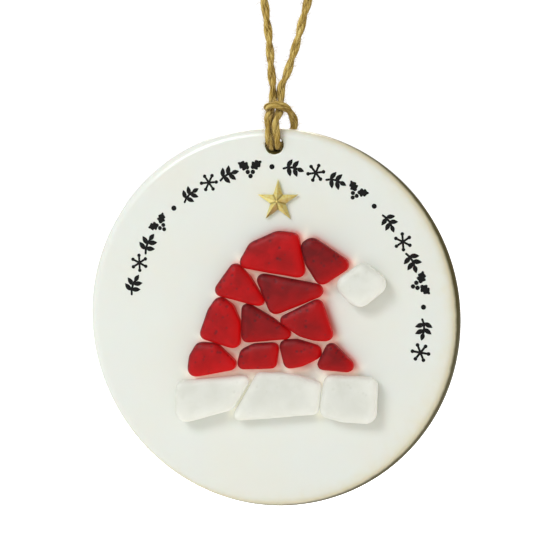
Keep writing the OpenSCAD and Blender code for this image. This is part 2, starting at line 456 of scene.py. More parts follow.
@dataclass(frozen=True)
class GlazedStoneware:
    """Stoneware under a poured gloss glaze: a glassy skin over a soft off-white, which runs thin and
    shows cream, then bare clay, on the rims; that rim colour is painted far stronger on the side away
    from the key light, so it is partly painted shade. Light that comes through the red glass is painted
    on as a pink tint, and the gaps between stones get a painted glow."""

    face: str = "#E7EAE4"
    warm: str = "#E8E9E0"
    cream: str = "#E4DCBE"
    # Bare clay, dark enough to stand also for painted shade on the rim away from the light
    clay_and_shade: str = "#564F22"
    # Painted light: the pink of light through the red glass, and the glow painted into the gaps between
    # stones
    blush: str = "#E8776A"
    glow: str = "#F3C4B4"
    roughness: float = 0.28
    clay_roughness: float = 0.6
    mottle_mm: float = 14.0
    speckle_mm: float = 1.8
    speckle: float = 0.22
    ripple_mm: float = 2.6
    # Strength of the painted glow in the gaps between stones
    through_light: float = 0.42

    def material(self) -> bpy.types.Material:
        """Make the glaze; the mesh carries three stored shares: the painted pink of light through the red
        stones, how thin the glaze runs, which is partly painted shade, and the painted glow of the light
        between stones.

        Returns:
            The material.
        """
        material, add, shader = new_material("glazed_stoneware", {
            "IOR": 1.5, "Coat Weight": 0.25, "Coat Roughness": 0.14,
            "Subsurface Weight": 0.08, "Subsurface Scale": 0.6 * MM,
        })
        place = add("ShaderNodeTexCoord", out="Object")
        thin, blush, passed = (
            add("ShaderNodeAttribute", out="Fac", attribute_name=name) for name in ("thin", "blush", "glow")
        )
        speckle = add("ShaderNodeTexNoise", {
            "Vector": place, "Scale": 1 / (self.speckle_mm * MM), "Detail": 4.0,
        })
        glaze_break_and_shade = add("ShaderNodeMath", {0: speckle, 1: self.speckle, 2: thin}, operation="MULTIPLY_ADD")
        # Cream, then dark clay, where the glaze runs thin; the mesh scales it up away from the light, so it
        # is partly painted shade
        creamy, bare_and_shaded = (
            add("ShaderNodeMapRange", {"Value": glaze_break_and_shade, "From Min": low, "From Max": high},
                interpolation_type="SMOOTHSTEP")
            for low, high in ((0.16, 0.62), (0.58, 1.04))
        )
        colour, _ = mottled(add, self.mottle_mm * MM, [(0.38, self.face), (0.68, self.warm)], 3.0)
        # Lay on the cream, the clay and the painted pink of light from the red stones
        for share, tint in ((creamy, self.cream), (bare_and_shaded, self.clay_and_shade), (blush, self.blush)):
            colour = tinted(add, colour, share, tint)
        waves = add("ShaderNodeTexNoise", {"Vector": place, "Scale": 1 / (self.ripple_mm * MM)})
        wire(shader, {
            "Base Color": colour,
            "Roughness": add("ShaderNodeMapRange", {
                "Value": bare_and_shaded, "To Min": self.roughness, "To Max": self.clay_roughness,
            }),
            "Normal": add("ShaderNodeBump", {"Strength": 0.12, "Distance": 0.05 * MM, "Height": waves}),
            # Painted glow: the gaps between stones give off a cream-to-pink light
            "Emission Color": add("ShaderNodeMix", {
                0: blush, 6: linear(self.cream), 7: linear(self.glow),
            }, 2, data_type="RGBA"),
            "Emission Strength": add("ShaderNodeMath", {0: passed, 1: self.through_light},
                                     operation="MULTIPLY"),
        })
        return material


class GlassTone(Enum):
    """Tones of the beach glass: its body, its depths, its edge with painted light, its rim with painted
    shade and its haze.
    """

    SCARLET = ("#B20810", "#92080C", "#BE0204", "#521A20", "#E0A8A4")
    MAROON = ("#8A0A10", "#6A090D", "#AC0204", "#40171D", "#C89894")
    CRIMSON = ("#9E080E", "#7E080C", "#B40204", "#48191F", "#D4A09C")
    CLEAR = ("#E0E1DA", "#DADBD3", "#FAFAF3", "#BDBDB2", "#FFFFFF")


@dataclass(frozen=True)
class FrostedGlass:
    """Bottle glass tumbled in surf: an etched satin skin over a see-through body. The edge where light
    would leave is painted lit and glows, and the near edge and the pits are painted darker as shade."""

    tone: GlassTone
    roughness: float = 0.46
    etch_mm: float = 0.35
    cloud_mm: float = 3.2
    # Strength of the painted glow on the lit edge
    through_light: float = 0.45

    def material(self) -> bpy.types.Material:
        """Make the glass; the mesh carries "lit", painted light with a glow on the edge away from the key
        light, "rim", painted shade on the edge towards it, and "pit", where the pits are painted darker as
        shade.

        Returns:
            The material.
        """
        body, depth, lit_edge, painted_shade_tone, haze = self.tone.value
        clear = self.tone is GlassTone.CLEAR
        material, add, shader = new_material(f"frosted_glass_{self.tone.name.lower()}", {
            "IOR": 1.5, "Specular IOR Level": 0.42 if clear else 0.2,
            "Subsurface Weight": 0.75 if clear else 0.3, "Subsurface Scale": 1.4 * MM,
            "Subsurface Radius": (1.0, 0.97, 0.9) if clear else (1.0, 0.12, 0.1),
            "Sheen Weight": 0.1 if clear else 0.03, "Sheen Roughness": 0.45, "Sheen Tint": linear(haze),
            "Emission Color": linear(lit_edge),
        })
        colour, _ = mottled(add, self.cloud_mm * MM, [(0.36, depth), (0.64, body)], 3.0, 0.6)
        lit = add("ShaderNodeAttribute", out="Fac", attribute_name="lit")
        # Painted light on the edge away from the key light, painted shade on the upper-left rim and in the
        # pits
        for share, tint in ((lit, lit_edge), ("rim", painted_shade_tone), ("pit", depth if clear else painted_shade_tone)):
            colour = tinted(add, colour, share, tint)
        etch = add("ShaderNodeTexNoise", {
            "Vector": add("ShaderNodeTexCoord", out="Object"), "Scale": 1 / (self.etch_mm * MM),
            "Detail": 5.0, "Roughness": 0.65,
        })
        wire(shader, {
            "Base Color": colour,
            # The lit edge glows: painted light
            "Emission Strength": add("ShaderNodeMath", {
                0: lit, 1: self.through_light * (0.5 if clear else 1),
            }, operation="MULTIPLY"),
            "Roughness": add("ShaderNodeMapRange", {
                "Value": etch, "From Min": 0.3, "From Max": 0.7,
                "To Min": self.roughness - 0.07, "To Max": self.roughness + 0.1,
            }),
            "Normal": add("ShaderNodeBump", {"Strength": 0.35, "Distance": 0.04 * MM, "Height": etch}),
        })
        return material


@dataclass(frozen=True)
class CastBrass:
    """Bright cast brass, tumbled smooth: warm mirror-like faces with a faint grain and duller dips."""

    bright: str = "#FFF3A8"
    dull: str = "#FBE07C"
    tarnish: str = "#6B4A10"
    roughness: float = 0.38
    grain_mm: float = 0.5

    def material(self) -> bpy.types.Material:
        """Make the brass; the mesh carries "valley", where tarnish stays in the creases.

        Returns:
            The material.
        """
        material, add, shader = new_material("cast_brass", {"Metallic": 1.0})
        valley = add("ShaderNodeAttribute", out="Fac", attribute_name="valley")
        colour, grain = mottled(add, self.grain_mm * MM, [(0.3, self.dull), (0.56, self.bright)], 4.0)
        wire(shader, {
            "Base Color": tinted(add, colour, valley, self.tarnish),
            "Roughness": add("ShaderNodeMapRange", {
                "Value": valley, "To Min": self.roughness, "To Max": self.roughness + 0.25,
            }),
            "Normal": add("ShaderNodeBump", {"Strength": 0.04, "Distance": 0.02 * MM, "Height": grain}),
        })
        return material


@dataclass(frozen=True)
class JuteYarn:
    """Two-ply jute: dry straw-coloured bast fibres that lie along each ply in light and dark streaks."""

    straw: str = "#E3CD80"
    tan: str = "#AD8C3C"
    # Dark fibre of the streaks, also used as the painted shade in the creases
    dark_fibre_and_shade: str = "#3E2A06"
    sheen: str = "#F3DCA8"
    # How dark the painted shade in the creases is
    crease_shade: float = 0.85
    streaks_around: float = 2.4
    streak_mm: float = 2.8

    def material(self) -> bpy.types.Material:
        """Make the yarn; the mesh carries "around", "travel" and "crease", where shade is painted between
        the plies and where twine touches twine.

        Returns:
            The material.
        """
        material, add, shader = new_material("jute_yarn", {
            "Roughness": 0.88, "Specular IOR Level": 0.22,
            "Sheen Weight": 0.35, "Sheen Roughness": 0.5, "Sheen Tint": linear(self.sheen),
        })
        travel = add("ShaderNodeAttribute", out="Fac", attribute_name="travel")
        along = add("ShaderNodeMath", {0: travel, 1: 1 / (self.streak_mm * MM)}, operation="MULTIPLY")
        across = add("ShaderNodeVectorMath", {
            0: add("ShaderNodeAttribute", out="Vector", attribute_name="around"),
            "Scale": self.streaks_around,
        }, operation="SCALE")
        lay = add("ShaderNodeVectorMath", {
            0: across, 1: add("ShaderNodeCombineXYZ", {"Z": along}),
        }, operation="ADD")
        streak = add("ShaderNodeTexNoise", {"Vector": lay, "Scale": 1.0, "Detail": 4.0, "Roughness": 0.7})
        colour = add("ShaderNodeValToRGB", {"Fac": streak}, stops=[
            (0.34, self.dark_fibre_and_shade), (0.47, self.tan), (0.62, self.straw),
        ])
        # Painted shade: darken between the plies and where stretches of twine touch
        crease = add("ShaderNodeAttribute", out="Fac", attribute_name="crease")
        painted_crease_shade = add("ShaderNodeMath", {0: crease, 1: self.crease_shade}, operation="MULTIPLY")
        wire(shader, {
            "Base Color": tinted(add, colour, painted_crease_shade, self.dark_fibre_and_shade),
            "Normal": add("ShaderNodeBump", {"Strength": 0.5, "Distance": 0.06 * MM, "Height": streak}),
        })
        return material


@dataclass(frozen=True)
class PlainFinish:
    """A finish with one soft mottling and no marks of its own."""

    name: str
    uniform: dict
    stops: Stops
    patch_mm: float
    detail: float = 2.0

    def material(self) -> bpy.types.Material:
        """Make the finish.

        Returns:
            The material.
        """
        material, add, shader = new_material(self.name, self.uniform)
        colour, _ = mottled(add, self.patch_mm * MM, self.stops, self.detail)
        wire(shader, {"Base Color": colour})
        return material


# Cured clear craft glue: a glossy, faintly yellow bead that lets the glaze show through, with a few
# soft clouds where it trapped air
CLEAR_GLUE = PlainFinish("clear_glue", {
    "Roughness": 0.12, "IOR": 1.47, "Subsurface Weight": 0.6, "Subsurface Scale": 0.5 * MM,
    "Coat Weight": 0.3,
}, [(0.4, "#E7E0C6"), (0.75, "#F6F3E6")], 0.9)

# Single loose jute fibres: fine, pale and slightly shiny hairs that vary from hair to hair
JUTE_FIBRE = PlainFinish("jute_fibre", {
    "Roughness": 0.7, "Specular IOR Level": 0.3,
}, [(0.35, "#A67C40"), (0.6, "#E2C78E")], 1.1)

# Black ceramic ink drawn on the glaze and fired: a thin satin line, a little uneven in tone
CERAMIC_INK = PlainFinish("ceramic_ink", {
    "Roughness": 0.5, "Specular IOR Level": 0.2,
}, [(0.45, "#040404"), (0.8, "#121110")], 0.8, 3.0)


# ---------------------------------------------------------------- studio

@dataclass
class Studio:
    """The camera, soft lights, white surround and pale floor."""

    target: Point = (-0.0003, 0.0, -0.0768)
    azimuth: float = 13.0
    elevation: float = 4.0
    lens: float = 100.0
    frame_width: float = 0.1102
    sensor: float = 36.0
    floor_drop: float = 0.03
    floor_radius: float = 4.0
    floor_sides: int = 64
    bright_way: Point = (-0.55, -0.45, 0.7)
    dim_side: float = 0.2
    bright_side: float = 0.62
    warm_bounce: str = "#FFE7C2"
    sky: str = "#FFFCF6"
    # Name, place, side, power in watts and colour of each soft box
    lamps: tuple[tuple[str, Point, float, float, str], ...] = (
        ("key", (-0.42, -0.62, 0.42), 0.36, 3.85, "#F4FAFF"),
        ("fill", (0.5, -0.7, 0.1), 0.6, 0.25, "#F4F8FF"),
        ("back", (-0.2, 0.6, 0.5), 0.4, 2.3, "#FFFFFF"),
    )

    def camera(self) -> None:
        """Set the camera up in front of the disc, a little to its right and above."""
        turn, rise = math.radians(self.azimuth), math.radians(self.elevation)
        back = Vector((
            math.sin(turn) * math.cos(rise), -math.cos(turn) * math.cos(rise), math.sin(rise),
        ))
        data = bpy.data.cameras.new("camera")
        data.lens = self.lens
        data.sensor_width = self.sensor
        data.clip_start = 0.01
        data.clip_end = 20.0
        camera = link_object("camera", data)
        camera.location = Vector(self.target) + back * (self.frame_width * self.lens / self.sensor)
        camera.rotation_euler = (-back).to_track_quat("-Z", "Y").to_euler()
        bpy.context.scene.camera = camera

    def light(self, name: str, place: Point, size: float, power: float, colour: str) -> None:
        """Hang a square soft box that points at the middle of the object.

        Args:
            name: The light's name.
            place: Where it hangs.
            size: Its side.
            power: Its power in watts.
            colour: Its colour.
        """
        data = bpy.data.lights.new(name, "AREA")
        data.size = size
        data.energy = power
        data.color = linear(colour)[:3]
        lamp = link_object(name, data)
        lamp.location = place
        lamp.rotation_euler = (Vector(self.target) - Vector(place)).to_track_quat("-Z", "Y").to_euler()

    def surround(self) -> None:
        """Light the object evenly from all round, and let the camera see plain white beyond it."""
        world = bpy.data.worlds.new("surround")
        world.use_nodes = True
        world.node_tree.nodes.clear()
        add = partial(add_node, world.node_tree)
        toward = add("ShaderNodeVectorMath", {
            0: add("ShaderNodeTexCoord", out="Generated"), 1: self.bright_way,
        }, "Value", operation="DOT_PRODUCT")
        share = add("ShaderNodeMapRange", {"Value": toward, "From Min": -0.8, "From Max": 0.5})
        soft = add("ShaderNodeBackground", {
            "Color": add("ShaderNodeMix", {
                0: share, 6: linear(self.warm_bounce), 7: linear(self.sky),
            }, 2, data_type="RGBA"),
            "Strength": add("ShaderNodeMapRange", {
                "Value": toward, "From Min": -0.8, "From Max": 0.8,
                "To Min": self.dim_side, "To Max": self.bright_side,
            }),
        })
        seen = add("ShaderNodeBackground", {"Color": linear("#FFFFFF"), "Strength": 1.05})
        both = add("ShaderNodeMixShader", {
            0: add("ShaderNodeLightPath", out="Is Camera Ray"), 1: soft, 2: seen,
        })
        add("ShaderNodeOutputWorld", {"Surface": both})
        bpy.context.scene.world = world
        bpy.context.scene.view_settings.view_transform = "Standard"

    def floor(self) -> None:
        """Lay a pale floor a little below the disc."""
        turns = np.linspace(0, 2 * math.pi, self.floor_sides, endpoint=False)
        ring = np.column_stack([
            np.cos(turns) * self.floor_radius, np.sin(turns) * self.floor_radius,
            np.full(self.floor_sides, cad_box[0].z - self.floor_drop),
        ])
        mesh = new_mesh("floor", ring, faces=[list(range(self.floor_sides))])
        material, add, shader = new_material("pale_floor", {
            "Roughness": 0.9, "Specular IOR Level": 0.1, "Emission Color": linear("#FFFFFF"),
        })
        colour, _ = mottled(add, 1 / 3, [(0.3, "#F4F4F2"), (0.7, "#FAFAF8")])
        wire(shader, {
            "Base Color": colour, "Emission Strength": add("ShaderNodeLightPath", out="Is Camera Ray"),
        })
        mesh.materials.append(material)
        link_object("floor", mesh)

    def build(self) -> None:
        """Make the whole studio."""
        self.camera()
        self.surround()
        for lamp in self.lamps:
            self.light(*lamp)
        self.floor()
        LOG.info("studio: camera at %g, %g degrees", self.azimuth, self.elevation)


# ---------------------------------------------------------------- twine

@dataclass
class TwineLoop:
    """A loop of two-ply jute twine: two legs, the cow hitch at the disc and the overhand knot."""

    diameter: float = 1.5 * MM
    hook_height: float = 85.0
    ply_radius: float = 0.55 * MM
    ply_offset: float = 0.3 * MM
    ply_twist: float = -5.2
    lay_length: float = 9.0 * MM
    slub: float = 0.34
    slubs_per_metre: float = 190.0
    fibres_per_metre: float = 380.0
    fibres_around: float = 2.6
    ring_step: float = 0.16 * MM
    ring_points: int = 14
    cut_height: float = 51.0
    leg_top: float = 86.2
    groove: float = 0.13 * MM
    crown: float = 0.62 * MM
    touch: float = 0.6 * MM
    wrap_turns: float = 2.6
    wrap_low: float = 87.0
    wrap_high: float = 90.2
    wrap_across: float = 1.82
    wrap_deep: float = 1.5
    hair_length: float = 1.5 * MM
    hair_width: float = 0.022 * MM
    hair_density: float = 2.2e6
    end_hair_length: float = 2.3 * MM
    end_hair_width: float = 0.045 * MM
    end_hair_density: float = 6.5e7
    end_radius: float = 0.62 * MM
    end_sides: int = 12
    yarn: bpy.types.Material = field(init=False)
    fibre: bpy.types.Material = field(init=False)
    plies: bpy.types.NodeTree = field(init=False)
    hairs: bpy.types.NodeTree = field(init=False)
    line: np.ndarray = field(init=False)
    step: float = field(init=False)

    LEG_LEFT = (
        (-0.8, 0, 44.8), (-0.8, 0, 45.3), (-1.1, 0.1, 48), (-1.4, 0.3, 51.5), (-1.7, 0.4, 55),
        (-2.1, 0.3, 58.5), (-2.5, 0, 62), (-3, -0.3, 65.5), (-3.5, -0.5, 69), (-3.8, -0.5, 72.5),
        (-3.7, -0.4, 76), (-3, -0.2, 79.5), (-2, -0.1, 82.4), (-1.1, 0, 84.4), (-0.8, 0, 85.6),
        (-0.8, 0, 86.2),
    )
    LEG_RIGHT = (
        (0.8, 0, 44.8), (0.8, 0, 45.3), (2, -0.2, 48), (3.2, -0.4, 51.5), (4.3, -0.4, 55),
        (5.2, -0.2, 58.5), (6.1, 0.1, 62), (6.8, 0.4, 65.5), (7.3, 0.6, 69), (7.3, 0.6, 72.5),
        (6.6, 0.5, 76), (5.1, 0.3, 79.5), (3.1, 0.1, 82.4), (1.4, 0, 84.4), (0.8, 0, 85.6),
        (0.8, 0, 86.2),
    )
    TAIL_LEFT = ((-0.62, 0, 87.3), (-0.62, 0, 89.6), (-0.8, 0, 90.8), (-1, -0.1, 92.4), (-2, -0.4, 95.4),
                 (-3.8, -0.6, 98))
    TAIL_RIGHT = ((0.62, 0, 87.3), (0.62, 0, 89.6), (0.8, 0, 90.8), (1.1, 0.2, 92.2), (2.6, 0.5, 94.8),
                  (4.8, 0.5, 96.4))
    HITCH_RIGHT = (
        (0.8, 0, 43.6), (0.8, -0.05, 42.4), (0.75, -0.35, 41.6), (0.65, -0.9, 40.7), (0.5, -1.9, 39.6),
        (0.45, -2.9, 38.6), (0.5, -3.35, 37.3), (0.7, -3.35, 35.7), (0.76, -3.1, 34.7),
        (0.76, -2.3, 34.2), (0.76, 2.3, 33.8), (0.8, 3.1, 33.95), (1, 3.45, 34.8), (1.4, 3.5, 35.7),
        (2.1, 3.4, 36.7), (2.7, 3.3, 37.8), (2.85, 2.7, 39), (2.75, 1.4, 40), (2.45, 0, 40.9),
        (1.9, -1.3, 41.6), (0.8, -2.05, 42),
    )
    HITCH_LEFT = (
        (-0.8, 0, 43.6), (-0.8, -0.05, 42.4), (-0.85, -0.35, 41.6), (-0.95, -0.9, 40.7),
        (-1.1, -1.9, 39.6), (-1.1, -2.9, 38.6), (-1, -3.35, 37.3), (-0.82, -3.35, 35.7),
        (-0.76, -3.1, 34.7), (-0.76, -2.3, 34.2), (-0.76, 2.3, 33.8), (-0.8, 3.1, 33.95),
        (-1, 3.45, 34.8), (-1.4, 3.5, 35.7), (-2, 3.45, 36.7), (-2.4, 3.3, 37.7), (-2.4, 2.7, 38.9),
        (-2.1, 1.4, 40), (-1.75, 0, 41), (-1.45, -1.45, 41.7), (-0.7, -2.05, 42.05),
    )

    def __post_init__(self) -> None:
        """Make the finishes and trees that every stretch shares, and the line that the twine follows."""
        self.yarn = JuteYarn().material()
        self.fibre = JUTE_FIBRE.material()
        self.plies = self.ply_tree()
        self.hairs = self.fuzz_tree()
        self.line = self.smooth_route([
            *reversed(self.TAIL_LEFT), *reversed(self.LEG_LEFT), *self.HITCH_LEFT,
            *reversed(self.HITCH_RIGHT), *self.LEG_RIGHT, *self.TAIL_RIGHT,
        ])
        self.step = float(np.linalg.norm(np.diff(self.line, axis=0), axis=1).mean())

    def smooth_route(self, points: Sequence[Point]) -> np.ndarray:
        """Run one smooth curve through route points.

        Args:
            points: Places in millimetres from the layout's middle.

        Returns:
            Evenly spaced places in metres in the model's frame.
        """
        knots = np.array(points, float)
        knots[:, 2] -= self.hook_height
        knots *= MM
        marks = np.concatenate([[0], np.cumsum(np.linalg.norm(np.diff(knots, axis=0), axis=1))])
        slopes = np.gradient(knots, marks, axis=0)
        fine = np.linspace(0, marks[-1], 40 * len(knots))
        i = np.clip(np.searchsorted(marks, fine, side="right") - 1, 0, len(knots) - 2)
        gap = (marks[i + 1] - marks[i])[:, None]
        t = (fine - marks[i])[:, None] / gap
        line = (
            (2 * t**3 - 3 * t**2 + 1) * knots[i] + (t**3 - 2 * t**2 + t) * gap * slopes[i]
            + (3 * t**2 - 2 * t**3) * knots[i + 1] + (t**3 - t**2) * gap * slopes[i + 1]
        )
        run = np.concatenate([[0], np.cumsum(np.linalg.norm(np.diff(line, axis=0), axis=1))])
        even = np.linspace(0, run[-1], round(run[-1] / self.ring_step) + 1)
        return np.column_stack([np.interp(even, run, line[:, k]) for k in range(3)])

    def wrap_route(self) -> np.ndarray:
        """Lay the band of the overhand knot: out of the core, down round it and in again.

        Returns:
            Places in metres along the band.
        """
        share = np.linspace(0, 1, 40)
        angle = 2 * math.pi * self.wrap_turns * share + 0.6
        tucked = np.minimum(1, np.minimum(share, 1 - share) / 0.07 + 0.25)
        rise = self.wrap_high - (self.wrap_high - self.wrap_low) * share + 0.35 * np.sin(angle)
        return self.smooth_route(list(zip(
            self.wrap_across * tucked * np.cos(angle), self.wrap_deep * tucked * np.sin(angle), rise,
        )))

    def ply_tree(self) -> bpy.types.NodeTree:
        """Build the tree that lays two plies round a line, with slubs and fibre grooves.

        Returns:
            The tree.
        """
        tree, add, given, end = geometry_tree("lay_two_plies", {
            "Ply radius": "Float", "Ply offset": "Float", "Lay length": "Float", "Slub": "Float",
            "Ring points": "Int", "Groove": "Float",
        })
        along = add("GeometryNodeSplineParameter", out="Length")
        marked = add("GeometryNodeStoreNamedAttribute", {
            "Geometry": add("GeometryNodeMeshToCurve", {"Mesh": given["Geometry"]}),
            "Name": "travel", "Value": along,
        }, data_type="FLOAT", domain="POINT")
        normal = add("GeometryNodeInputNormal", out="Normal")
        tangent = add("GeometryNodeInputTangent")
        turns = add("ShaderNodeMath", {0: along, 1: given["Lay length"]}, operation="DIVIDE")
        ring = add("GeometryNodeCurvePrimitiveCircle", {"Resolution": given["Ring points"], "Radius": 1.0})
        place = add("GeometryNodeInputPosition")
        profile = add("GeometryNodeStoreNamedAttribute", {
            "Geometry": ring, "Name": "around", "Value": place,
        }, data_type="FLOAT_VECTOR", domain="POINT")
        plies = add("GeometryNodeJoinGeometry")
        for ply in range(2):
            angle = add("ShaderNodeMath", {
                0: turns, 1: 2 * math.pi, 2: ply * math.pi,
            }, operation="MULTIPLY_ADD")
            outward = add("ShaderNodeVectorRotate", {
                "Vector": normal, "Axis": tangent, "Angle": angle,
            }, rotation_type="AXIS_ANGLE")
            offset = add("ShaderNodeVectorMath", {
                0: outward, "Scale": given["Ply offset"],
            }, operation="SCALE")
            coiled = add("GeometryNodeSetPosition", {"Geometry": marked, "Offset": offset})
            lumps = add("ShaderNodeTexNoise", {
                "Vector": place, "W": 3.7 * ply, "Scale": self.slubs_per_metre, "Detail": 2.0,
            }, noise_dimensions="4D")
            swell = add("ShaderNodeMath", {
                0: lumps, 1: given["Slub"], 2: 1 - self.slub / 2,
            }, operation="MULTIPLY_ADD")
            radius = add("ShaderNodeMath", {0: swell, 1: given["Ply radius"]}, operation="MULTIPLY")
            twist = add("ShaderNodeMath", {0: turns, 1: self.ply_twist}, operation="MULTIPLY")
            tube = add("GeometryNodeCurveToMesh", {
                "Curve": add("GeometryNodeSetCurveTilt", {"Curve": coiled, "Tilt": twist}),
                "Profile Curve": profile, "Scale": radius,
            })
            wire(plies.node, {0: tube})
        around = add("GeometryNodeInputNamedAttribute", {"Name": "around"}, data_type="FLOAT_VECTOR")
        travel = add("GeometryNodeInputNamedAttribute", {"Name": "travel"}, data_type="FLOAT")
        drawn_out = add("ShaderNodeMath", {0: travel, 1: self.fibres_per_metre}, operation="MULTIPLY")
        fibre = add("ShaderNodeTexNoise", {
            "Vector": around, "W": drawn_out, "Scale": self.fibres_around, "Detail": 2.0,
        }, noise_dimensions="4D")
        centred = add("ShaderNodeMath", {0: fibre, 1: 0.5}, operation="SUBTRACT")
        depth = add("ShaderNodeMath", {0: centred, 1: given["Groove"]}, operation="MULTIPLY")
        push = add("ShaderNodeVectorMath", {0: normal, "Scale": depth}, operation="SCALE")
        grooved = add("GeometryNodeSetPosition", {"Geometry": plies, "Offset": push})
        end(add("GeometryNodeSetShadeSmooth", {"Geometry": grooved}))
        return tree

    def fuzz_tree(self) -> bpy.types.NodeTree:
        """Build the tree that grows short curved fibres out of a surface.

        Returns:
            The tree.
        """
        tree, add, given, end = geometry_tree("grow_fibres", {
            "Density": "Float", "Length": "Float", "Width": "Float", "Least tilt": "Float",
            "Most tilt": "Float", "Seed": "Int",
        })
        spots = add("GeometryNodeDistributePointsOnFaces", {
            "Mesh": given["Geometry"], "Density": given["Density"], "Seed": given["Seed"],
        }).node.outputs
        spine = add("GeometryNodeCurveQuadraticBezier", {
            "Resolution": 5, "Start": (0.0, 0.0, 0.0), "Middle": (0.0, 0.22, 0.55),
            "End": (0.16, 0.05, 1.0),
        })
        taper = add("ShaderNodeMapRange", {
            "Value": add("GeometryNodeSplineParameter", out="Factor"), "To Min": 1.0, "To Max": 0.35,
        })
        ring = add("GeometryNodeCurvePrimitiveCircle", {"Resolution": 3, "Radius": given["Width"]})
        hair = add("GeometryNodeCurveToMesh", {
            "Curve": spine, "Profile Curve": ring, "Scale": taper, "Fill Caps": True,
        })
        lean = add("FunctionNodeRandomValue", {
            "Min": add("ShaderNodeCombineXYZ", {"X": given["Least tilt"]}),
            "Max": add("ShaderNodeCombineXYZ", {"X": given["Most tilt"], "Z": 2 * math.pi}),
            "Seed": given["Seed"],
        }, data_type="FLOAT_VECTOR")
        turned = add("FunctionNodeRotateRotation", {
            "Rotation": spots["Rotation"], "Rotate By": add("FunctionNodeEulerToRotation", {"Euler": lean}),
        }, rotation_space="LOCAL")
        share = add("FunctionNodeRandomValue", {2: 0.35, 3: 1.0, "Seed": 11}, 1, data_type="FLOAT")
        reach = add("ShaderNodeMath", {0: share, 1: given["Length"]}, operation="MULTIPLY")
        size = add("ShaderNodeCombineXYZ", {"X": given["Length"], "Y": given["Length"], "Z": reach})
        end(add("GeometryNodeInstanceOnPoints", {
            "Points": spots["Points"], "Instance": hair, "Rotation": turned, "Scale": size,
        }))
        return tree

    def twist_plies(self, line: np.ndarray) -> Mesh:
        """Lay the twine's two plies along a line.

        Args:
            line: The line's places.

        Returns:
            The laid twine.
        """
        host = new_mesh("line", line, edges=[(i, i + 1) for i in range(len(line) - 1)])
        mesh = grow(host, self.plies, {
            "Ply radius": self.ply_radius, "Ply offset": self.ply_offset,
            "Lay length": self.lay_length, "Slub": self.slub, "Ring points": self.ring_points,
            "Groove": self.groove, "Material": self.yarn,
        })
        self.find_creases(mesh, line)
        return mesh

    def find_creases(self, mesh: Mesh, line: np.ndarray) -> None:
        """Store how deep each point lies between the plies, or against another stretch of twine, for the
        yarn to paint shade there.

        Args:
            mesh: The laid twine.
            line: The line that it follows.
        """
        tree = near_tree(line)
        reach = 0.5 * self.diameter + self.touch
        apart = round(2 * self.diameter / self.ring_step)
        crease = np.zeros(len(mesh.vertices))
        for i, point in enumerate(read_points(mesh)):
            _, own, gap = tree.find(point)
            between_plies = np.clip((self.crown - gap) / self.crown * 1.9, 0, 1)
            others = [g for _, k, g in tree.find_range(point, reach) if abs(k - own) > apart]
            pressed = np.clip((reach - min(others, default=reach)) / self.touch, 0, 1)
            crease[i] = max(between_plies, pressed)
        paint(mesh, "crease", crease)

    def stretch(self, mesh: Mesh, start: float, stop: float) -> Mesh:
        """Cut a stretch out of the laid twine, and close its ends.

        Args:
            mesh: The laid twine, which is left as it is.
            start: Travel along the twine where the stretch starts.
            stop: Travel where it stops.

        Returns:
            The stretch as its own mesh.
        """
        form = bmesh.new()
        form.from_mesh(mesh)
        travel = form.verts.layers.float["travel"]
        outside = [
            f for f in form.faces
            if not start <= sum(v[travel] for v in f.verts) / len(f.verts) < stop
        ]
        bmesh.ops.delete(form, geom=outside, context="FACES")
        rims = [e for e in form.edges if e.is_boundary]
        for edge in rims:
            edge.smooth = False
        bmesh.ops.holes_fill(form, edges=rims, sides=0)
        cut = from_form("stretch", form)
        cut.materials.append(self.yarn)
        return cut

    def fuzz(self, name: str, mesh: Mesh, seed: int, body: str | None) -> bpy.types.Object:
        """Grow loose fibres on a stretch of twine.

        Args:
            name: The new piece's name.
            mesh: The stretch.
            seed: Seed of the fibres.
            body: The body that they ride on, or None where they are blended.

        Returns:
            The piece.
        """
        hairs = grow(mesh.copy(), self.hairs, {
            "Density": self.hair_density, "Length": self.hair_length,
            "Width": self.hair_width / self.hair_length, "Least tilt": 0.75, "Most tilt": 1.5,
            "Seed": seed, "Material": self.fibre,
        })
        return make_piece(name, hairs, "jute_twine", body)

    def frayed_ends(self) -> Mesh:
        """Grow a brush of longer fibres out of each end of the twine.

        Returns:
            Both brushes as one mesh.
        """
        points, faces = [], []
        for end, inner in ((self.line[0], self.line[4]), (self.line[-1], self.line[-5])):
            ahead = Vector(end - inner).normalized()
            side = ahead.orthogonal().normalized()
            other = ahead.cross(side)
            faces.append([len(points) + k for k in range(self.end_sides)])
            for k in range(self.end_sides):
                angle = 2 * math.pi * k / self.end_sides
                rim = (side * math.cos(angle) + other * math.sin(angle)) * self.end_radius
                points.append(Vector(end) + rim - ahead * 0.1 * MM)
        return grow(new_mesh("ends", np.array(points), faces=faces), self.hairs, {
            "Density": self.end_hair_density, "Length": self.end_hair_length,
            "Width": self.end_hair_width / self.end_hair_length, "Least tilt": 0.0, "Most tilt": 0.6,
            "Seed": 9, "Material": self.fibre,
        })

    def leg(self, name: str, twine: Mesh, span: tuple[int, int], node: str,
            with_pieces: Sequence[bpy.types.Object]) -> None:
        """Make one leg of the loop, which winds round the other as the disc turns.

        Args:
            name: The leg's name.
            twine: The laid twine.
            span: First and last place of the leg on the line, in order along it.
            node: The CAD node that it stands for.
            with_pieces: Pieces that hang on this leg; not used.
        """
        first, last = span
        mesh = self.stretch(twine, first * self.step, last * self.step)
        leg = make_piece(name, mesh, "jute_twine")
        fuzz = self.fuzz(name.replace("jute", "fuzz"), mesh, first, None)
        for piece in (leg, fuzz):
            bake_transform(piece, "hanger", "neck", start=(0.0, 0.0, -0.008), end=(0.0, 0.0, -0.0335))
        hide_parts(node)

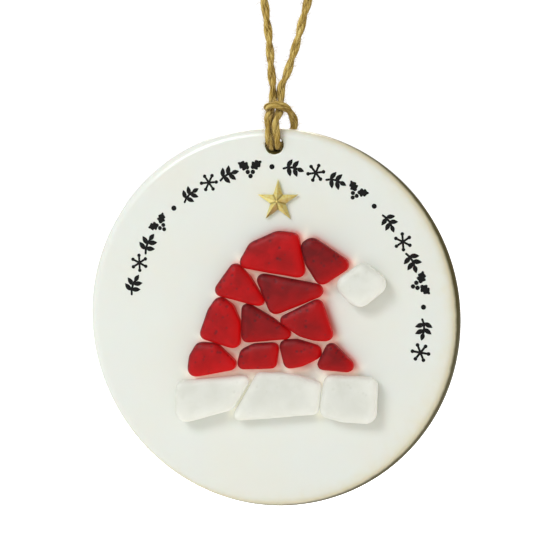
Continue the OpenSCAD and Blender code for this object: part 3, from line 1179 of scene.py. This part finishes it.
    def knot(self, twine: Mesh, first: int, last: int) -> list[bpy.types.Object]:
        """Make the overhand knot, with the legs' tops, both tails and their frayed ends.

        Args:
            twine: The laid twine.
            first: Place on the line where the left tail's stretch ends.
            last: Place where the right tail's stretch starts.

        Returns:
            The knot, its fibres and the frayed ends.
        """
        core = bmesh.new()
        for part in (
            self.stretch(twine, -1.0, first * self.step),
            self.stretch(twine, last * self.step, len(self.line) * self.step + 1.0),
            self.stretch(self.twist_plies(self.wrap_route()), -1.0, 1.0),
        ):
            core.from_mesh(part)
        mesh = from_form("knot", core)
        mesh.materials.append(self.yarn)
        knot = make_piece("jute_knot", mesh, "jute_twine", "hanger")
        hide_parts("tie_knot")
        fuzz = self.fuzz("fuzz_knot", mesh, 5, "hanger")
        return [knot, fuzz, make_piece("frayed_ends", self.frayed_ends(), "jute_twine", "hanger")]

    def hitch(self, twine: Mesh, first: int, last: int) -> None:
        """Make the cow hitch and the neck above it, which give as the disc rocks.

        Args:
            twine: The laid twine.
            first: Place on the line where the left leg ends.
            last: Place where the right leg starts.
        """
        mesh = self.stretch(twine, first * self.step, last * self.step)
        hitch = make_piece("jute_hitch", mesh, "jute_twine")
        fuzz = self.fuzz("fuzz_hitch", mesh, 3, None)
        for piece in (hitch, fuzz):
            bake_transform(piece, "neck", "medallion", start=(0.0, 0.0, -0.0386), end=(0.0, 0.0, -0.0438))
        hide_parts("twine_neck", "twine_hitch")

    def build(self) -> None:
        twine = self.twist_plies(self.line)
        middle = len(self.line) // 2
        height = self.line[:, 2] / MM + self.hook_height
        left_top = int(np.argmax(height < self.leg_top))
        left_foot = int(np.argmax(height < self.cut_height))
        right_foot = middle + int(np.argmax(height[middle:] > self.cut_height))
        right_top = middle + int(np.argmax(height[middle:] > self.leg_top))
        top = self.knot(twine, left_top, right_top)
        self.leg("jute_leg_left", twine, (left_top, left_foot), "twine_leg_left", top)
        self.leg("jute_leg_right", twine, (right_foot, right_top), "twine_leg_right", [])
        self.hitch(twine, left_foot, right_foot)


# ---------------------------------------------------------------- glass

@dataclass
class HatStone:
    """One piece of beach glass, with its painted glow, its rim with painted shade and its pits."""

    node: str
    tone: GlassTone
    seed: int
    voxel: float = 0.19 * MM
    wear_rounds: int = 26
    pits: int = 26
    smallest_pit: float = 0.16 * MM
    largest_pit: float = 0.34 * MM
    pit_depth: float = 0.3
    pillow: float = 0.6 * MM
    spread: float = 0.24 * MM
    wear: float = 0.12 * MM
    fine_wear: float = 0.02 * MM

    def outline(self, points: np.ndarray) -> tuple[np.ndarray, np.ndarray]:
        """Find the stone's outline as seen from the front.

        Args:
            points: The stone's points.

        Returns:
            For each side of the outline, a place on it and its outward direction, in x and z.
        """
        ordered = sorted({(round(p[0], 5), round(p[2], 5)) for p in points})
        hull: list[tuple[float, float]] = []
        for run in (ordered, ordered[::-1]):
            start = len(hull)
            for p in run:
                while len(hull) >= start + 2 and (
                    (hull[-1][0] - hull[-2][0]) * (p[1] - hull[-2][1])
                    - (hull[-1][1] - hull[-2][1]) * (p[0] - hull[-2][0])
                ) <= 0:
                    hull.pop()
                hull.append(p)
            hull.pop()
        corners = np.array(hull)
        along = np.roll(corners, -1, axis=0) - corners
        outward = np.column_stack([along[:, 1], -along[:, 0]])
        return corners, outward / np.linalg.norm(outward, axis=1, keepdims=True)

    def outline_gaps(self, points: np.ndarray) -> tuple[np.ndarray, np.ndarray]:
        """Measure how far each point lies inside each side of the outline.

        Args:
            points: The stone's points.

        Returns:
            A gap for each point and side, and each side's outward direction.
        """
        corners, outward = self.outline(points)
        gap = ((corners[None] - points[:, None, [0, 2]]) * outward[None]).sum(axis=2)
        return np.maximum(gap, 0), outward

    def light_edges(self, mesh: Mesh) -> None:
        """Paint light where it would leave the stone, low on its right, and paint shade on the rim on its
        upper left, towards the key light.

        Args:
            mesh: The stone.
        """
        gap, outward = self.outline_gaps(read_points(mesh))
        facing = outward @ np.array([0.8, -0.6])
        near = 0.5 * np.exp(-gap / (2.4 * MM)) + 0.5 * np.exp(-gap / (0.6 * MM))
        # Painted light: brighter on the sides that face down and right, away from the key light
        lit = (near * np.clip(facing + 0.15, 0, 1)).max(axis=1)
        # Painted shade: darker on the rim that faces up and left, towards the key light
        rim = (np.exp(-gap / (0.42 * MM)) * np.clip(-facing + 0.12, 0, 1)).max(axis=1)
        # Clear glass also gets painted light on its side walls
        if self.tone is GlassTone.CLEAR:
            lit = np.maximum(0.7 * lit, 0.4 * (1 - np.abs(read_points(mesh, "normal")[:, 1])))
        paint(mesh, "lit", np.clip(lit * 1.15, 0, 1))
        paint(mesh, "rim", np.clip(rim * 1.05, 0, 1))

    def chip(self, mesh: Mesh) -> None:
        """Press small pits into the stone, mostly near its edges, and store how deep each point lies; the
        glass paints the pits darker as shade.

        Args:
            mesh: The stone.
        """
        picks = np.random.default_rng(self.seed)
        points, normals = read_points(mesh), read_points(mesh, "normal")
        edge = np.abs(normals[:, 1] + 0.75)
        upper_left = np.clip(normals @ np.array([-0.7, 0, 0.7]) + 0.25, 0, 1)
        weight = np.exp(-(edge / 0.25) ** 2) * (normals[:, 1] < -0.2) * upper_left + 0.003
        chosen = picks.choice(len(points), self.pits, replace=False, p=weight / weight.sum())
        depth = np.zeros(len(points))
        for spot in chosen:
            radius = picks.uniform(self.smallest_pit / MM, self.largest_pit / MM) * MM
            gap = np.linalg.norm(points - points[spot], axis=1)
            depth = np.maximum(depth, np.clip(1 - (gap / radius) ** 2, 0, 1) * radius * self.pit_depth)
        move_points(mesh, points - normals * depth[:, None])
        paint(mesh, "pit", np.clip(depth / (0.1 * MM), 0, 0.7))

    def build(self, material: bpy.types.Material) -> bpy.types.Object:
        """Make the stone.

        Args:
            material: Its glass.

        Returns:
            The piece.
        """
        mesh = worn_copy(self.node, self.voxel, self.wear_rounds)
        points, normals = read_points(mesh), read_points(mesh, "normal")
        worn = self.wear * (1 + ripple(points, 3.4 * MM, self.seed)) / 2
        worn += self.fine_wear * (1 + ripple(points, 0.9 * MM, self.seed + 40)) / 2
        points = points - normals * worn[:, None]
        points[:, [0, 2]] += normals[:, [0, 2]] * self.spread
        gap, _ = self.outline_gaps(points)
        back, front = points[:, 1].max(), points[:, 1].min()
        proud = (back - points[:, 1]) / (back - front)
        points[:, 1] += self.pillow * np.exp(-gap.min(axis=1) / (1.1 * MM)) * proud**2
        move_points(mesh, points)
        self.light_edges(mesh)
        self.chip(mesh)
        mesh.materials.append(material)
        stone = make_piece(f"worn_{self.node}", mesh, self.slot(), "medallion")
        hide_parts(self.node)
        return stone

    def slot(self) -> str:
        """Name the record's slot that this tone belongs to."""
        return "white_beach_glass" if self.tone is GlassTone.CLEAR else "red_beach_glass"


@dataclass
class BeachGlassHat:
    """The hat: eleven red stones, its pale brim of three and its pompom."""

    tones: tuple[tuple[str, GlassTone], ...] = (
        ("red_glass_crown", GlassTone.SCARLET), ("red_glass_tail", GlassTone.MAROON),
        ("red_glass_upper_left", GlassTone.SCARLET), ("red_glass_upper_middle", GlassTone.MAROON),
        ("red_glass_left", GlassTone.SCARLET), ("red_glass_middle", GlassTone.MAROON),
        ("red_glass_right", GlassTone.CRIMSON), ("red_glass_lower_left", GlassTone.SCARLET),
        ("red_glass_lower_mid_left", GlassTone.CRIMSON), ("red_glass_lower_mid_right", GlassTone.CRIMSON),
        ("red_glass_lower_right", GlassTone.MAROON), ("white_glass_pompom", GlassTone.CLEAR),
        ("white_glass_brim_left", GlassTone.CLEAR), ("white_glass_brim_middle", GlassTone.CLEAR),
        ("white_glass_brim_right", GlassTone.CLEAR),
    )

    def build(self) -> list[bpy.types.Object]:
        """Make every stone.

        Returns:
            The stones, which pass light to the glaze round them.
        """
        glasses = {tone: FrostedGlass(tone).material() for tone in GlassTone}
        return [
            HatStone(node, tone, seed).build(glasses[tone])
            for seed, (node, tone) in enumerate(self.tones)
        ]


@dataclass
class GlueBeads:
    """The clear glue that squeezed out a little under each piece."""

    nodes: tuple[str, ...] = (
        "glue_under_hat_top", "glue_under_hat_bottom", "glue_under_brim", "glue_under_pompom",
        "glue_under_star",
    )
    voxel: float = 0.11 * MM
    unevenness: float = 0.14 * MM

    def build(self) -> None:
        """Make each bead, with an uneven soft edge."""
        material = CLEAR_GLUE.material()
        for seed, node in enumerate(self.nodes):
            mesh = worn_copy(node, self.voxel, 2)
            points, normals = read_points(mesh), read_points(mesh, "normal")
            normals[:, 1] = 0
            swell = self.unevenness * ripple(points, 1.6 * MM, seed + 80)
            move_points(mesh, points + normals * swell[:, None])
            mesh.materials.append(material)
            bead = make_piece(f"bead_{node}", mesh, "clear_glue", "medallion")
            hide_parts(node)


# ---------------------------------------------------------------- disc, star and garland

@dataclass
class CeramicDisc:
    """The stoneware disc: slightly out of round, with soft edges and a lipped hole."""

    half_thickness: float = 2.5 * MM
    radius: float = 38.0 * MM
    edge_radius: float = 2.0 * MM
    hole_radius: float = 1.7 * MM
    hole_side: float = 1.0 * MM
    hole_height: float = 34.5 * MM
    layout_height: float = 34.2 * MM
    lip_radius: float = 0.45 * MM
    burr: float = 0.5 * MM
    swell: float = 0.22 * MM
    out_of_round: float = 0.24 * MM
    narrow_angle: float = 0.37
    spokes: int = 384
    hat_middle: Point = (0.0, -0.0025, -0.0875)
    hat_reach: float = 27.0 * MM
    foot_height: float = 1.3 * MM
    # How far round the hole the dark clay is painted, partly as painted shade in the hole
    bare_and_shaded_lip: float = 0.2 * MM
    # Reach of the painted pink light at the red stones' edges, and of the painted light cast down and right
    close_blush: float = 0.35 * MM
    cast_blush: float = 0.6 * MM
    # Width of the painted glow in the gaps between stones
    gap_width: float = 1.5 * MM

    def centre(self) -> Vector:
        """Find the disc's centre."""
        low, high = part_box("ceramic_disc")
        return (low + high) / 2

    def layout_middle(self) -> Vector:
        """Find the middle that the hole and the front's decoration are set out from."""
        layout = Vector((self.hole_side, -self.half_thickness, self.hole_height - self.layout_height))
        return self.centre() + layout

    def reach(self, angle: np.ndarray) -> np.ndarray:
        """Find the distance from the centre to the outline; the disc is narrower one way.

        Args:
            angle: Angles round the centre.

        Returns:
            The distance at each angle.
        """
        wobble = 0.04 * MM * (1 + np.sin(3 * angle + 1) * np.cos(2 * angle))
        return self.radius - self.out_of_round * np.cos(angle - self.narrow_angle) ** 2 - wobble

    def ring(self, share: float) -> np.ndarray:
        """Lay one ring of the face between the hole and the outline.

        Args:
            share: How far out the ring lies, from 0 at the hole to 1 at the outline.

        Returns:
            Its places in x and z from the disc's centre.
        """
        angle = np.linspace(0, 2 * math.pi, self.spokes, endpoint=False)
        size = self.hole_radius + (self.reach(angle) - self.hole_radius) * share
        middle = np.array([self.hole_side, self.hole_height]) * (1 - share)
        return middle + np.column_stack([size * np.cos(angle), size * np.sin(angle)])

    def depth(self, flat: np.ndarray) -> np.ndarray:
        """Find how far the rounded face lies behind its plane.

        Args:
            flat: Places in x and z from the disc's centre.

        Returns:
            The depth at each place.
        """
        to_edge = self.reach(np.arctan2(flat[:, 1], flat[:, 0])) - np.linalg.norm(flat, axis=1)
        to_hole = np.linalg.norm(flat - [self.hole_side, self.hole_height], axis=1) - self.hole_radius
        depth = np.zeros(len(flat))
        for gap, round_over in ((to_edge, self.edge_radius), (to_hole, self.lip_radius)):
            short = np.clip(1 - gap / round_over, 0, 1)
            depth = np.maximum(depth, round_over * (1 - np.sqrt(1 - short**2)))
        return depth

    def mesh(self) -> Mesh:
        """Skin the disc with rings from the hole, over the front, round the edge and back inside.

        Returns:
            The closed mesh.
        """
        near_hole = [0, 0.0003, 0.0009, 0.0018, 0.003, 0.0045, 0.0065, 0.009, 0.013, 0.019]
        near_edge = [0.029, 0.0215, 0.0162, 0.012, 0.0086, 0.0057, 0.0034, 0.0017, 0.0006, 0.0001]
        edge = [1 - t for t in near_edge]
        front = [*near_hole, *np.linspace(0.027, 0.963, 108), *edge, 1]
        back = [*near_hole, *np.linspace(0.04, 0.95, 24), *edge, 1]
        rings = []
        for shares, sign in ((front, -1), (back[::-1], 1)):
            for share in shares:
                flat = self.ring(share)
                y = sign * (self.half_thickness - self.depth(flat))
                rings.append(np.column_stack([flat[:, 0], y, flat[:, 1]]))
        inside = self.half_thickness - self.lip_radius
        middle = np.array([self.hole_side, self.hole_height])
        for y in np.linspace(inside, -inside, 14)[1:-1]:
            spoke = self.ring(0) - middle
            low_side = np.clip(-spoke[:, 1] / self.hole_radius, 0, 1) ** 2
            bulge = math.cos(math.pi / 2 * y / inside) / self.hole_radius
            narrowed = (self.burr * low_side + self.swell) * bulge
            flat = middle + spoke * (1 - narrowed)[:, None]
            rings.append(np.column_stack([flat[:, 0], np.full(self.spokes, y), flat[:, 1]]))
        count, n = len(rings), self.spokes
        faces = [
            (i * n + k, i * n + (k + 1) % n, (i + 1) % count * n + (k + 1) % n, (i + 1) % count * n + k)
            for i in range(count) for k in range(n)
        ]
        points = np.vstack(rings) + np.array(self.centre())
        return new_mesh("ceramic", points, faces=faces)

    def thin_glaze(self, mesh: Mesh) -> None:
        """Store how thin the glaze has run: cream near the edge, and bare clay round the wall and in the
        hole. It is made far stronger on the side away from the key light, and the hole is painted dark, so
        it is partly painted shade.

        Args:
            mesh: The disc's mesh.
        """
        points = read_points(mesh) - np.array(self.centre())
        angle = np.arctan2(points[:, 2], points[:, 0])
        gap = np.maximum(self.reach(angle) - np.linalg.norm(points[:, [0, 2]], axis=1), 0)
        # Strongest low on the right, away from the key light: painted shade on top of the thin glaze
        away_from_light = np.clip(0.5 + 0.56 * np.cos(angle + 0.45), 0, 1)
        behind = self.half_thickness - np.abs(points[:, 1])
        wall = np.clip((behind - 0.1 * MM) / (1.5 * MM), 0, 1) * (gap < self.edge_radius)
        thin = 0.42 * np.exp(-gap / ((1.2 + 1.4 * away_from_light) * MM)) + 0.85 * wall
        thin *= 0.02 + 1.2 * away_from_light
        hole = np.linalg.norm(points[:, [0, 2]] - [self.hole_side, self.hole_height], axis=1)
        # The hole's bore and lip are painted dark clay, partly as painted shade inside the hole
        paint(mesh, "thin", np.where(hole < self.hole_radius + self.bare_and_shaded_lip, 1.2, thin))

    def take_blush(self, mesh: Mesh, stones: Sequence[bpy.types.Object]) -> None:
        """Store the painted pink of light from the red stones on the glaze, spread down and right away from
        the key light, and the painted glow that lightens the gaps between stones.

        Args:
            mesh: The disc's mesh.
            stones: The stones of the hat.
        """
        trees = []
        for stone in stones:
            feet = read_points(stone.data)
            feet = feet[feet[:, 1] > feet[:, 1].max() - self.foot_height][::2]
            trees.append(near_tree([(p[0], 0, p[2]) for p in feet]))
        red = [tree for tree, stone in zip(trees, stones) if "red" in stone.name]
        points = read_points(mesh)
        blush, glow = np.zeros(len(points)), np.zeros(len(points))
        far = np.linalg.norm(points - np.array(self.hat_middle), axis=1) > self.hat_reach
        for i in np.flatnonzero((points[:, 1] < -0.9 * self.half_thickness) & ~far):
            x, _, z = points[i]
            gap = min(tree.find((x, 0, z))[2] for tree in red)
            # Painted light cast down and right: the distance is taken from a point up and to the left
            low_right = min(tree.find((x - 0.5 * MM, 0, z + 0.4 * MM))[2] for tree in red)
            second = sorted(tree.find((x, 0, z))[2] for tree in trees)[1]
            cast = 0.3 * math.exp(-low_right / self.cast_blush)
            blush[i] = 0.6 * math.exp(-gap / self.close_blush) + cast
            # Painted glow where a second stone lies close, lightening the shaded gap
            glow[i] = math.exp(-((second / self.gap_width) ** 2))
        paint(mesh, "blush", np.clip(blush, 0, 0.9))
        paint(mesh, "glow", glow)

    def build(self, stones: Sequence[bpy.types.Object]) -> None:
        """Make the disc.

        Args:
            stones: The stones of the hat.
        """
        mesh = self.mesh()
        self.thin_glaze(mesh)
        self.take_blush(mesh, stones)
        mesh.materials.append(GlazedStoneware().material())
        disc = make_piece("stoneware_disc", mesh, "glazed_stoneware", "medallion")
        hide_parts("ceramic_disc")


@dataclass
class BrassStar:
    """The five-pointed ridged star: ten flat facets that meet in ridges and creases."""

    node: str = "brass_star"
    points: int = 5
    tip_radius: float = 4.3 * MM
    notch_radius: float = 1.6 * MM
    rim: float = 0.3 * MM
    crease: float = 0.2 * MM
    rings: int = 44
    steps: int = 26
    worn_edge: float = 0.07 * MM

    def reach(self, turn: np.ndarray) -> np.ndarray:
        """Find the distance from the star's middle to its outline.

        Args:
            turn: Angles from its first tip.

        Returns:
            The distance at each angle.
        """
        half = math.pi / self.points
        off_tip = np.abs((turn + half) % (2 * half) - half)
        across = self.tip_radius * np.sin(off_tip) + self.notch_radius * np.sin(half - off_tip)
        return self.tip_radius * self.notch_radius * math.sin(half) / across

    def build(self) -> None:
        """Make the star, with its ridges worn a little and tarnish left in its creases."""
        low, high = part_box(self.node)
        corners = read_points(frame["nodes"][self.node].data)
        middle = corners[np.argmin(corners[:, 1])]
        arms = corners - middle
        tip = arms[np.argmax(np.linalg.norm(arms[:, [0, 2]], axis=1))]
        height = high.y - low.y
        half = math.pi / self.points
        count = 2 * self.points * self.steps
        turn = np.arange(count) * half / self.steps
        out = np.linspace(0, 1, self.rings + 1)[1:]
        reach = self.reach(turn)
        size = out[:, None] * reach[None]
        front = self.rim + (height - self.rim) * (1 - out[:, None]) * np.ones((1, count))
        arc = np.maximum(size * half / self.steps, 0.001 * MM)
        for _ in range(3):
            share = np.clip(self.worn_edge / arc, 0, 1) * 0.33
            beside = (np.roll(front, 1, axis=1) + np.roll(front, -1, axis=1)) / 2
            front += share * (beside - front)
        peak = front[0].mean() + (height - front[0].mean()) * 0.6
        angle = turn + math.atan2(tip[2], tip[0])
        x, z = size * np.cos(angle), size * np.sin(angle)
        outline = np.column_stack([x[-1], np.zeros(count), z[-1]])
        shape = np.vstack([
            [[0, -peak, 0]], np.column_stack([x.ravel(), -front.ravel(), z.ravel()]), outline, [[0, 0, 0]],
        ])
        faces = [(0, 1 + k, 1 + (k + 1) % count) for k in range(count)]
        for i in range(self.rings):
            first = 1 + i * count
            faces += [
                (first + k, first + count + k, first + count + (k + 1) % count, first + (k + 1) % count)
                for k in range(count)
            ]
        back = 1 + self.rings * count
        faces += [(back + k, len(shape) - 1, back + (k + 1) % count) for k in range(count)]
        mesh = new_mesh("star", shape + [middle[0], high.y, middle[2]], faces=faces)
        mesh.set_sharp_from_angle(angle=0.7)
        off_crease = np.abs(turn % (2 * half) - half)
        gap = size * np.sin(off_crease)
        valley = 0.6 * np.exp(-((gap / self.crease) ** 2)) * np.clip(size / self.crease - 0.5, 0, 1)
        paint(mesh, "valley", np.concatenate([[0], valley.ravel(), np.zeros(count + 1)]))
        mesh.materials.append(CastBrass().material())
        star = make_piece("cast_star", mesh, "cast_brass", "medallion")
        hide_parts(self.node)


class Motif(Enum):
    """The drawn shapes of the garland, in the order that they are picked."""

    SPRIG = 0
    FLAKE = 1
    HOLLY = 2
    BERRY = 3


@dataclass
class InkGarland:
    """An arc of drawn sprigs, flakes, holly and berries in black ink."""

    radius: float = 29.9 * MM
    start_angle: float = 168.0
    stop_angle: float = -12.0
    count: int = 22
    stroke: float = 0.55
    ink_height: float = 0.03 * MM
    order: tuple[Motif, ...] = (Motif.SPRIG, Motif.FLAKE, Motif.SPRIG, Motif.HOLLY, Motif.BERRY)

    def line(self, points: Sequence[tuple[float, float]], width: float) -> list[np.ndarray]:
        """Draw a round-ended pen stroke.

        Args:
            points: The stroke's places in millimetres.
            width: Its width in millimetres.

        Returns:
            The stroke's outline, in a list of one.
        """
        spine = np.array(points, float)
        ahead = np.gradient(spine, axis=0)
        ahead /= np.linalg.norm(ahead, axis=1, keepdims=True)
        side = np.column_stack([-ahead[:, 1], ahead[:, 0]]) * width / 2
        caps = []
        for end, sign in ((-1, 1), (0, -1)):
            for k in range(1, 6):
                angle = math.pi * k / 6
                caps.append(spine[end] + sign * (
                    side[end] * math.cos(angle) + ahead[end] * width / 2 * math.sin(angle)
                ))
        return [np.vstack([spine + side, caps[:5], (spine - side)[::-1], caps[5:]])]

    def leaf(self, foot: tuple[float, float], angle: float, length: float, width: float,
             scallops: int = 0) -> list[np.ndarray]:
        """Draw a filled leaf.

        Args:
            foot: Where its stalk is, in millimetres.
            angle: The way that it points, in degrees.
            length: Its length.
            width: Its width.
            scallops: How many points each side has, as on holly.

        Returns:
            The leaf's outline, in a list of one.
        """
        t = np.linspace(0, 1, 25)
        half = width / 2 * np.sin(math.pi * t**0.85) ** 0.9
        if scallops:
            half = half * (0.62 + 0.38 * np.abs(np.cos(math.pi * scallops * t)))
        there = np.column_stack([t * length, half])
        back = np.column_stack([t[-2:0:-1] * length, -half[-2:0:-1]])
        turn = math.radians(angle)
        spin = np.array([[math.cos(turn), math.sin(turn)], [-math.sin(turn), math.cos(turn)]])
        return [np.vstack([there, back]) @ spin + foot]

    def dot(self, place: tuple[float, float], radius: float) -> list[np.ndarray]:
        """Draw a dot, as a list of one outline."""
        angle = np.linspace(0, 2 * math.pi, 20, endpoint=False)
        return [np.column_stack([np.cos(angle), np.sin(angle)]) * radius + place]

    def outlines(self, motif: Motif) -> list[np.ndarray]:
        """Draw one motif about its middle, along x and with its top at +y.

        Args:
            motif: The motif.

        Returns:
            Its outlines in millimetres.
        """
        pen = self.stroke
        if motif is Motif.BERRY:
            return self.dot((0, 0), 0.55)
        if motif is Motif.FLAKE:
            drawn = []
            for k in range(3):
                angle = math.radians(60 * k + 30)
                tip = np.array([math.cos(angle), math.sin(angle)]) * 1.65
                drawn += self.line([-tip, -tip / 2, tip / 2, tip], pen * 0.85)
            for k in range(6):
                angle = math.radians(60 * k + 30)
                drawn += self.dot((math.cos(angle) * 1.7, math.sin(angle) * 1.7), 0.4)
            return drawn
        if motif is Motif.HOLLY:
            drawn = self.leaf((-0.2, 0.1), 150, 2.6, 2.0, 3) + self.leaf((0.2, 0.1), 30, 2.6, 2.0, 3)
            for x, y in ((-0.52, -0.6), (0.52, -0.65), (0, -1.45)):
                drawn += self.dot((x, y), 0.46)
            return drawn
        drawn = self.line([(-2.2, -0.45), (-1.4, -0.1), (-0.4, 0.06), (0.5, 0), (1, -0.15)], pen * 0.85)
        for x, angle in ((-1.5, 64), (-0.3, 58), (-1.25, -68), (-0.05, -60)):
            drawn += self.leaf((x, 0.0), angle, 2.0, 1.0)
        return drawn + self.leaf((0.6, 0), -12, 1.7, 0.95)

    def slab(self, motif: Motif) -> bpy.types.Object:
        """Make a motif as a thin raised layer of ink, facing +Z, for the tree to place.

        Args:
            motif: The motif.

        Returns:
            The layer, outside the scene.
        """
        form = bmesh.new()
        for i, outline in enumerate(self.outlines(motif)):
            top = self.ink_height * (1 + 0.02 * i)
            base = [form.verts.new((x * MM, y * MM, 0)) for x, y in outline]
            bottom = form.faces.new(base)
            raised = bmesh.ops.extrude_face_region(form, geom=[bottom])["geom"]
            for vert in raised:
                if isinstance(vert, bmesh.types.BMVert):
                    vert.co.z = top
        bmesh.ops.recalc_face_normals(form, faces=form.faces)
        name = motif.name.lower()
        return bpy.data.objects.new(f"{motif.value}_{name}", from_form(name, form))

    def tree(self) -> bpy.types.NodeTree:
        """Build the tree that sets the motifs along the arc, each a little askew.

        Returns:
            The tree.
        """
        tree, add, given, end = geometry_tree("set_garland", {
            "Motifs": "Collection", "Askew": "Float", "Size spread": "Float", "Seed": "Int",
        })
        arc = add("GeometryNodeMeshToCurve", {"Mesh": given["Geometry"]})
        motifs = add("GeometryNodeCollectionInfo", {
            "Collection": given["Motifs"], "Separate Children": True, "Reset Children": True,
        })
        upright = add("FunctionNodeAlignRotationToVector", {"Vector": (0.0, -1.0, 0.0)}, axis="Z")
        along = add("FunctionNodeAlignRotationToVector", {
            "Rotation": upright, "Vector": add("GeometryNodeInputTangent"),
        }, axis="X", pivot_axis="Z")
        most = add("ShaderNodeCombineXYZ", {"Z": given["Askew"]})
        least = add("ShaderNodeVectorMath", {0: most, "Scale": -1.0}, operation="SCALE")
        lean = add("FunctionNodeRandomValue", {
            "Min": least, "Max": most, "Seed": given["Seed"],
        }, data_type="FLOAT_VECTOR")
        turned = add("FunctionNodeRotateRotation", {
            "Rotation": along, "Rotate By": add("FunctionNodeEulerToRotation", {"Euler": lean}),
        }, rotation_space="LOCAL")
        smallest = add("ShaderNodeMath", {0: 1.0, 1: given["Size spread"]}, operation="SUBTRACT")
        size = add("FunctionNodeRandomValue", {
            2: smallest, 3: 1.0, "Seed": given["Seed"],
        }, 1, data_type="FLOAT")
        pick = add("GeometryNodeInputNamedAttribute", {"Name": "motif"}, data_type="INT")
        end(add("GeometryNodeInstanceOnPoints", {
            "Points": arc, "Instance": motifs, "Pick Instance": True, "Instance Index": pick,
            "Rotation": turned, "Scale": size,
        }))
        return tree

    def build(self, face: Vector) -> None:
        """Draw the garland.

        Args:
            face: The middle of the disc's front face.
        """
        shelf = bpy.data.collections.new("motifs")
        for motif in Motif:
            shelf.objects.link(self.slab(motif))
        angle = np.radians(np.linspace(self.start_angle, self.stop_angle, self.count))
        spots = np.column_stack([
            np.cos(angle) * self.radius, np.zeros(self.count), np.sin(angle) * self.radius,
        ]) + np.array(face)
        host = new_mesh("arc", spots, edges=[(i, i + 1) for i in range(self.count - 1)])
        motif = host.attributes.new("motif", "INT", "POINT")
        motif.data.foreach_set("value", [self.order[i % len(self.order)].value for i in range(self.count)])
        mesh = grow(host, self.tree(), {
            "Motifs": shelf, "Askew": 0.16, "Size spread": 0.12, "Seed": 4,
            "Material": CERAMIC_INK.material(),
        })
        for helper in list(shelf.objects):
            bpy.data.objects.remove(helper)
        bpy.data.collections.remove(shelf)
        make_piece("ink_garland", mesh, "garland_ink", "medallion")


# ---------------------------------------------------------------- the whole ornament


def main() -> None:
    """Build the studio, the cords and then every other piece."""
    logging.basicConfig(level=logging.INFO, format="%(name)s: %(message)s")
    Studio().build()
    TwineLoop().build()
    stones = BeachGlassHat().build()
    GlueBeads().build()
    disc = CeramicDisc()
    disc.build(stones)
    BrassStar().build()
    InkGarland().build(disc.layout_middle())


if __name__ == "__main__":
    main()
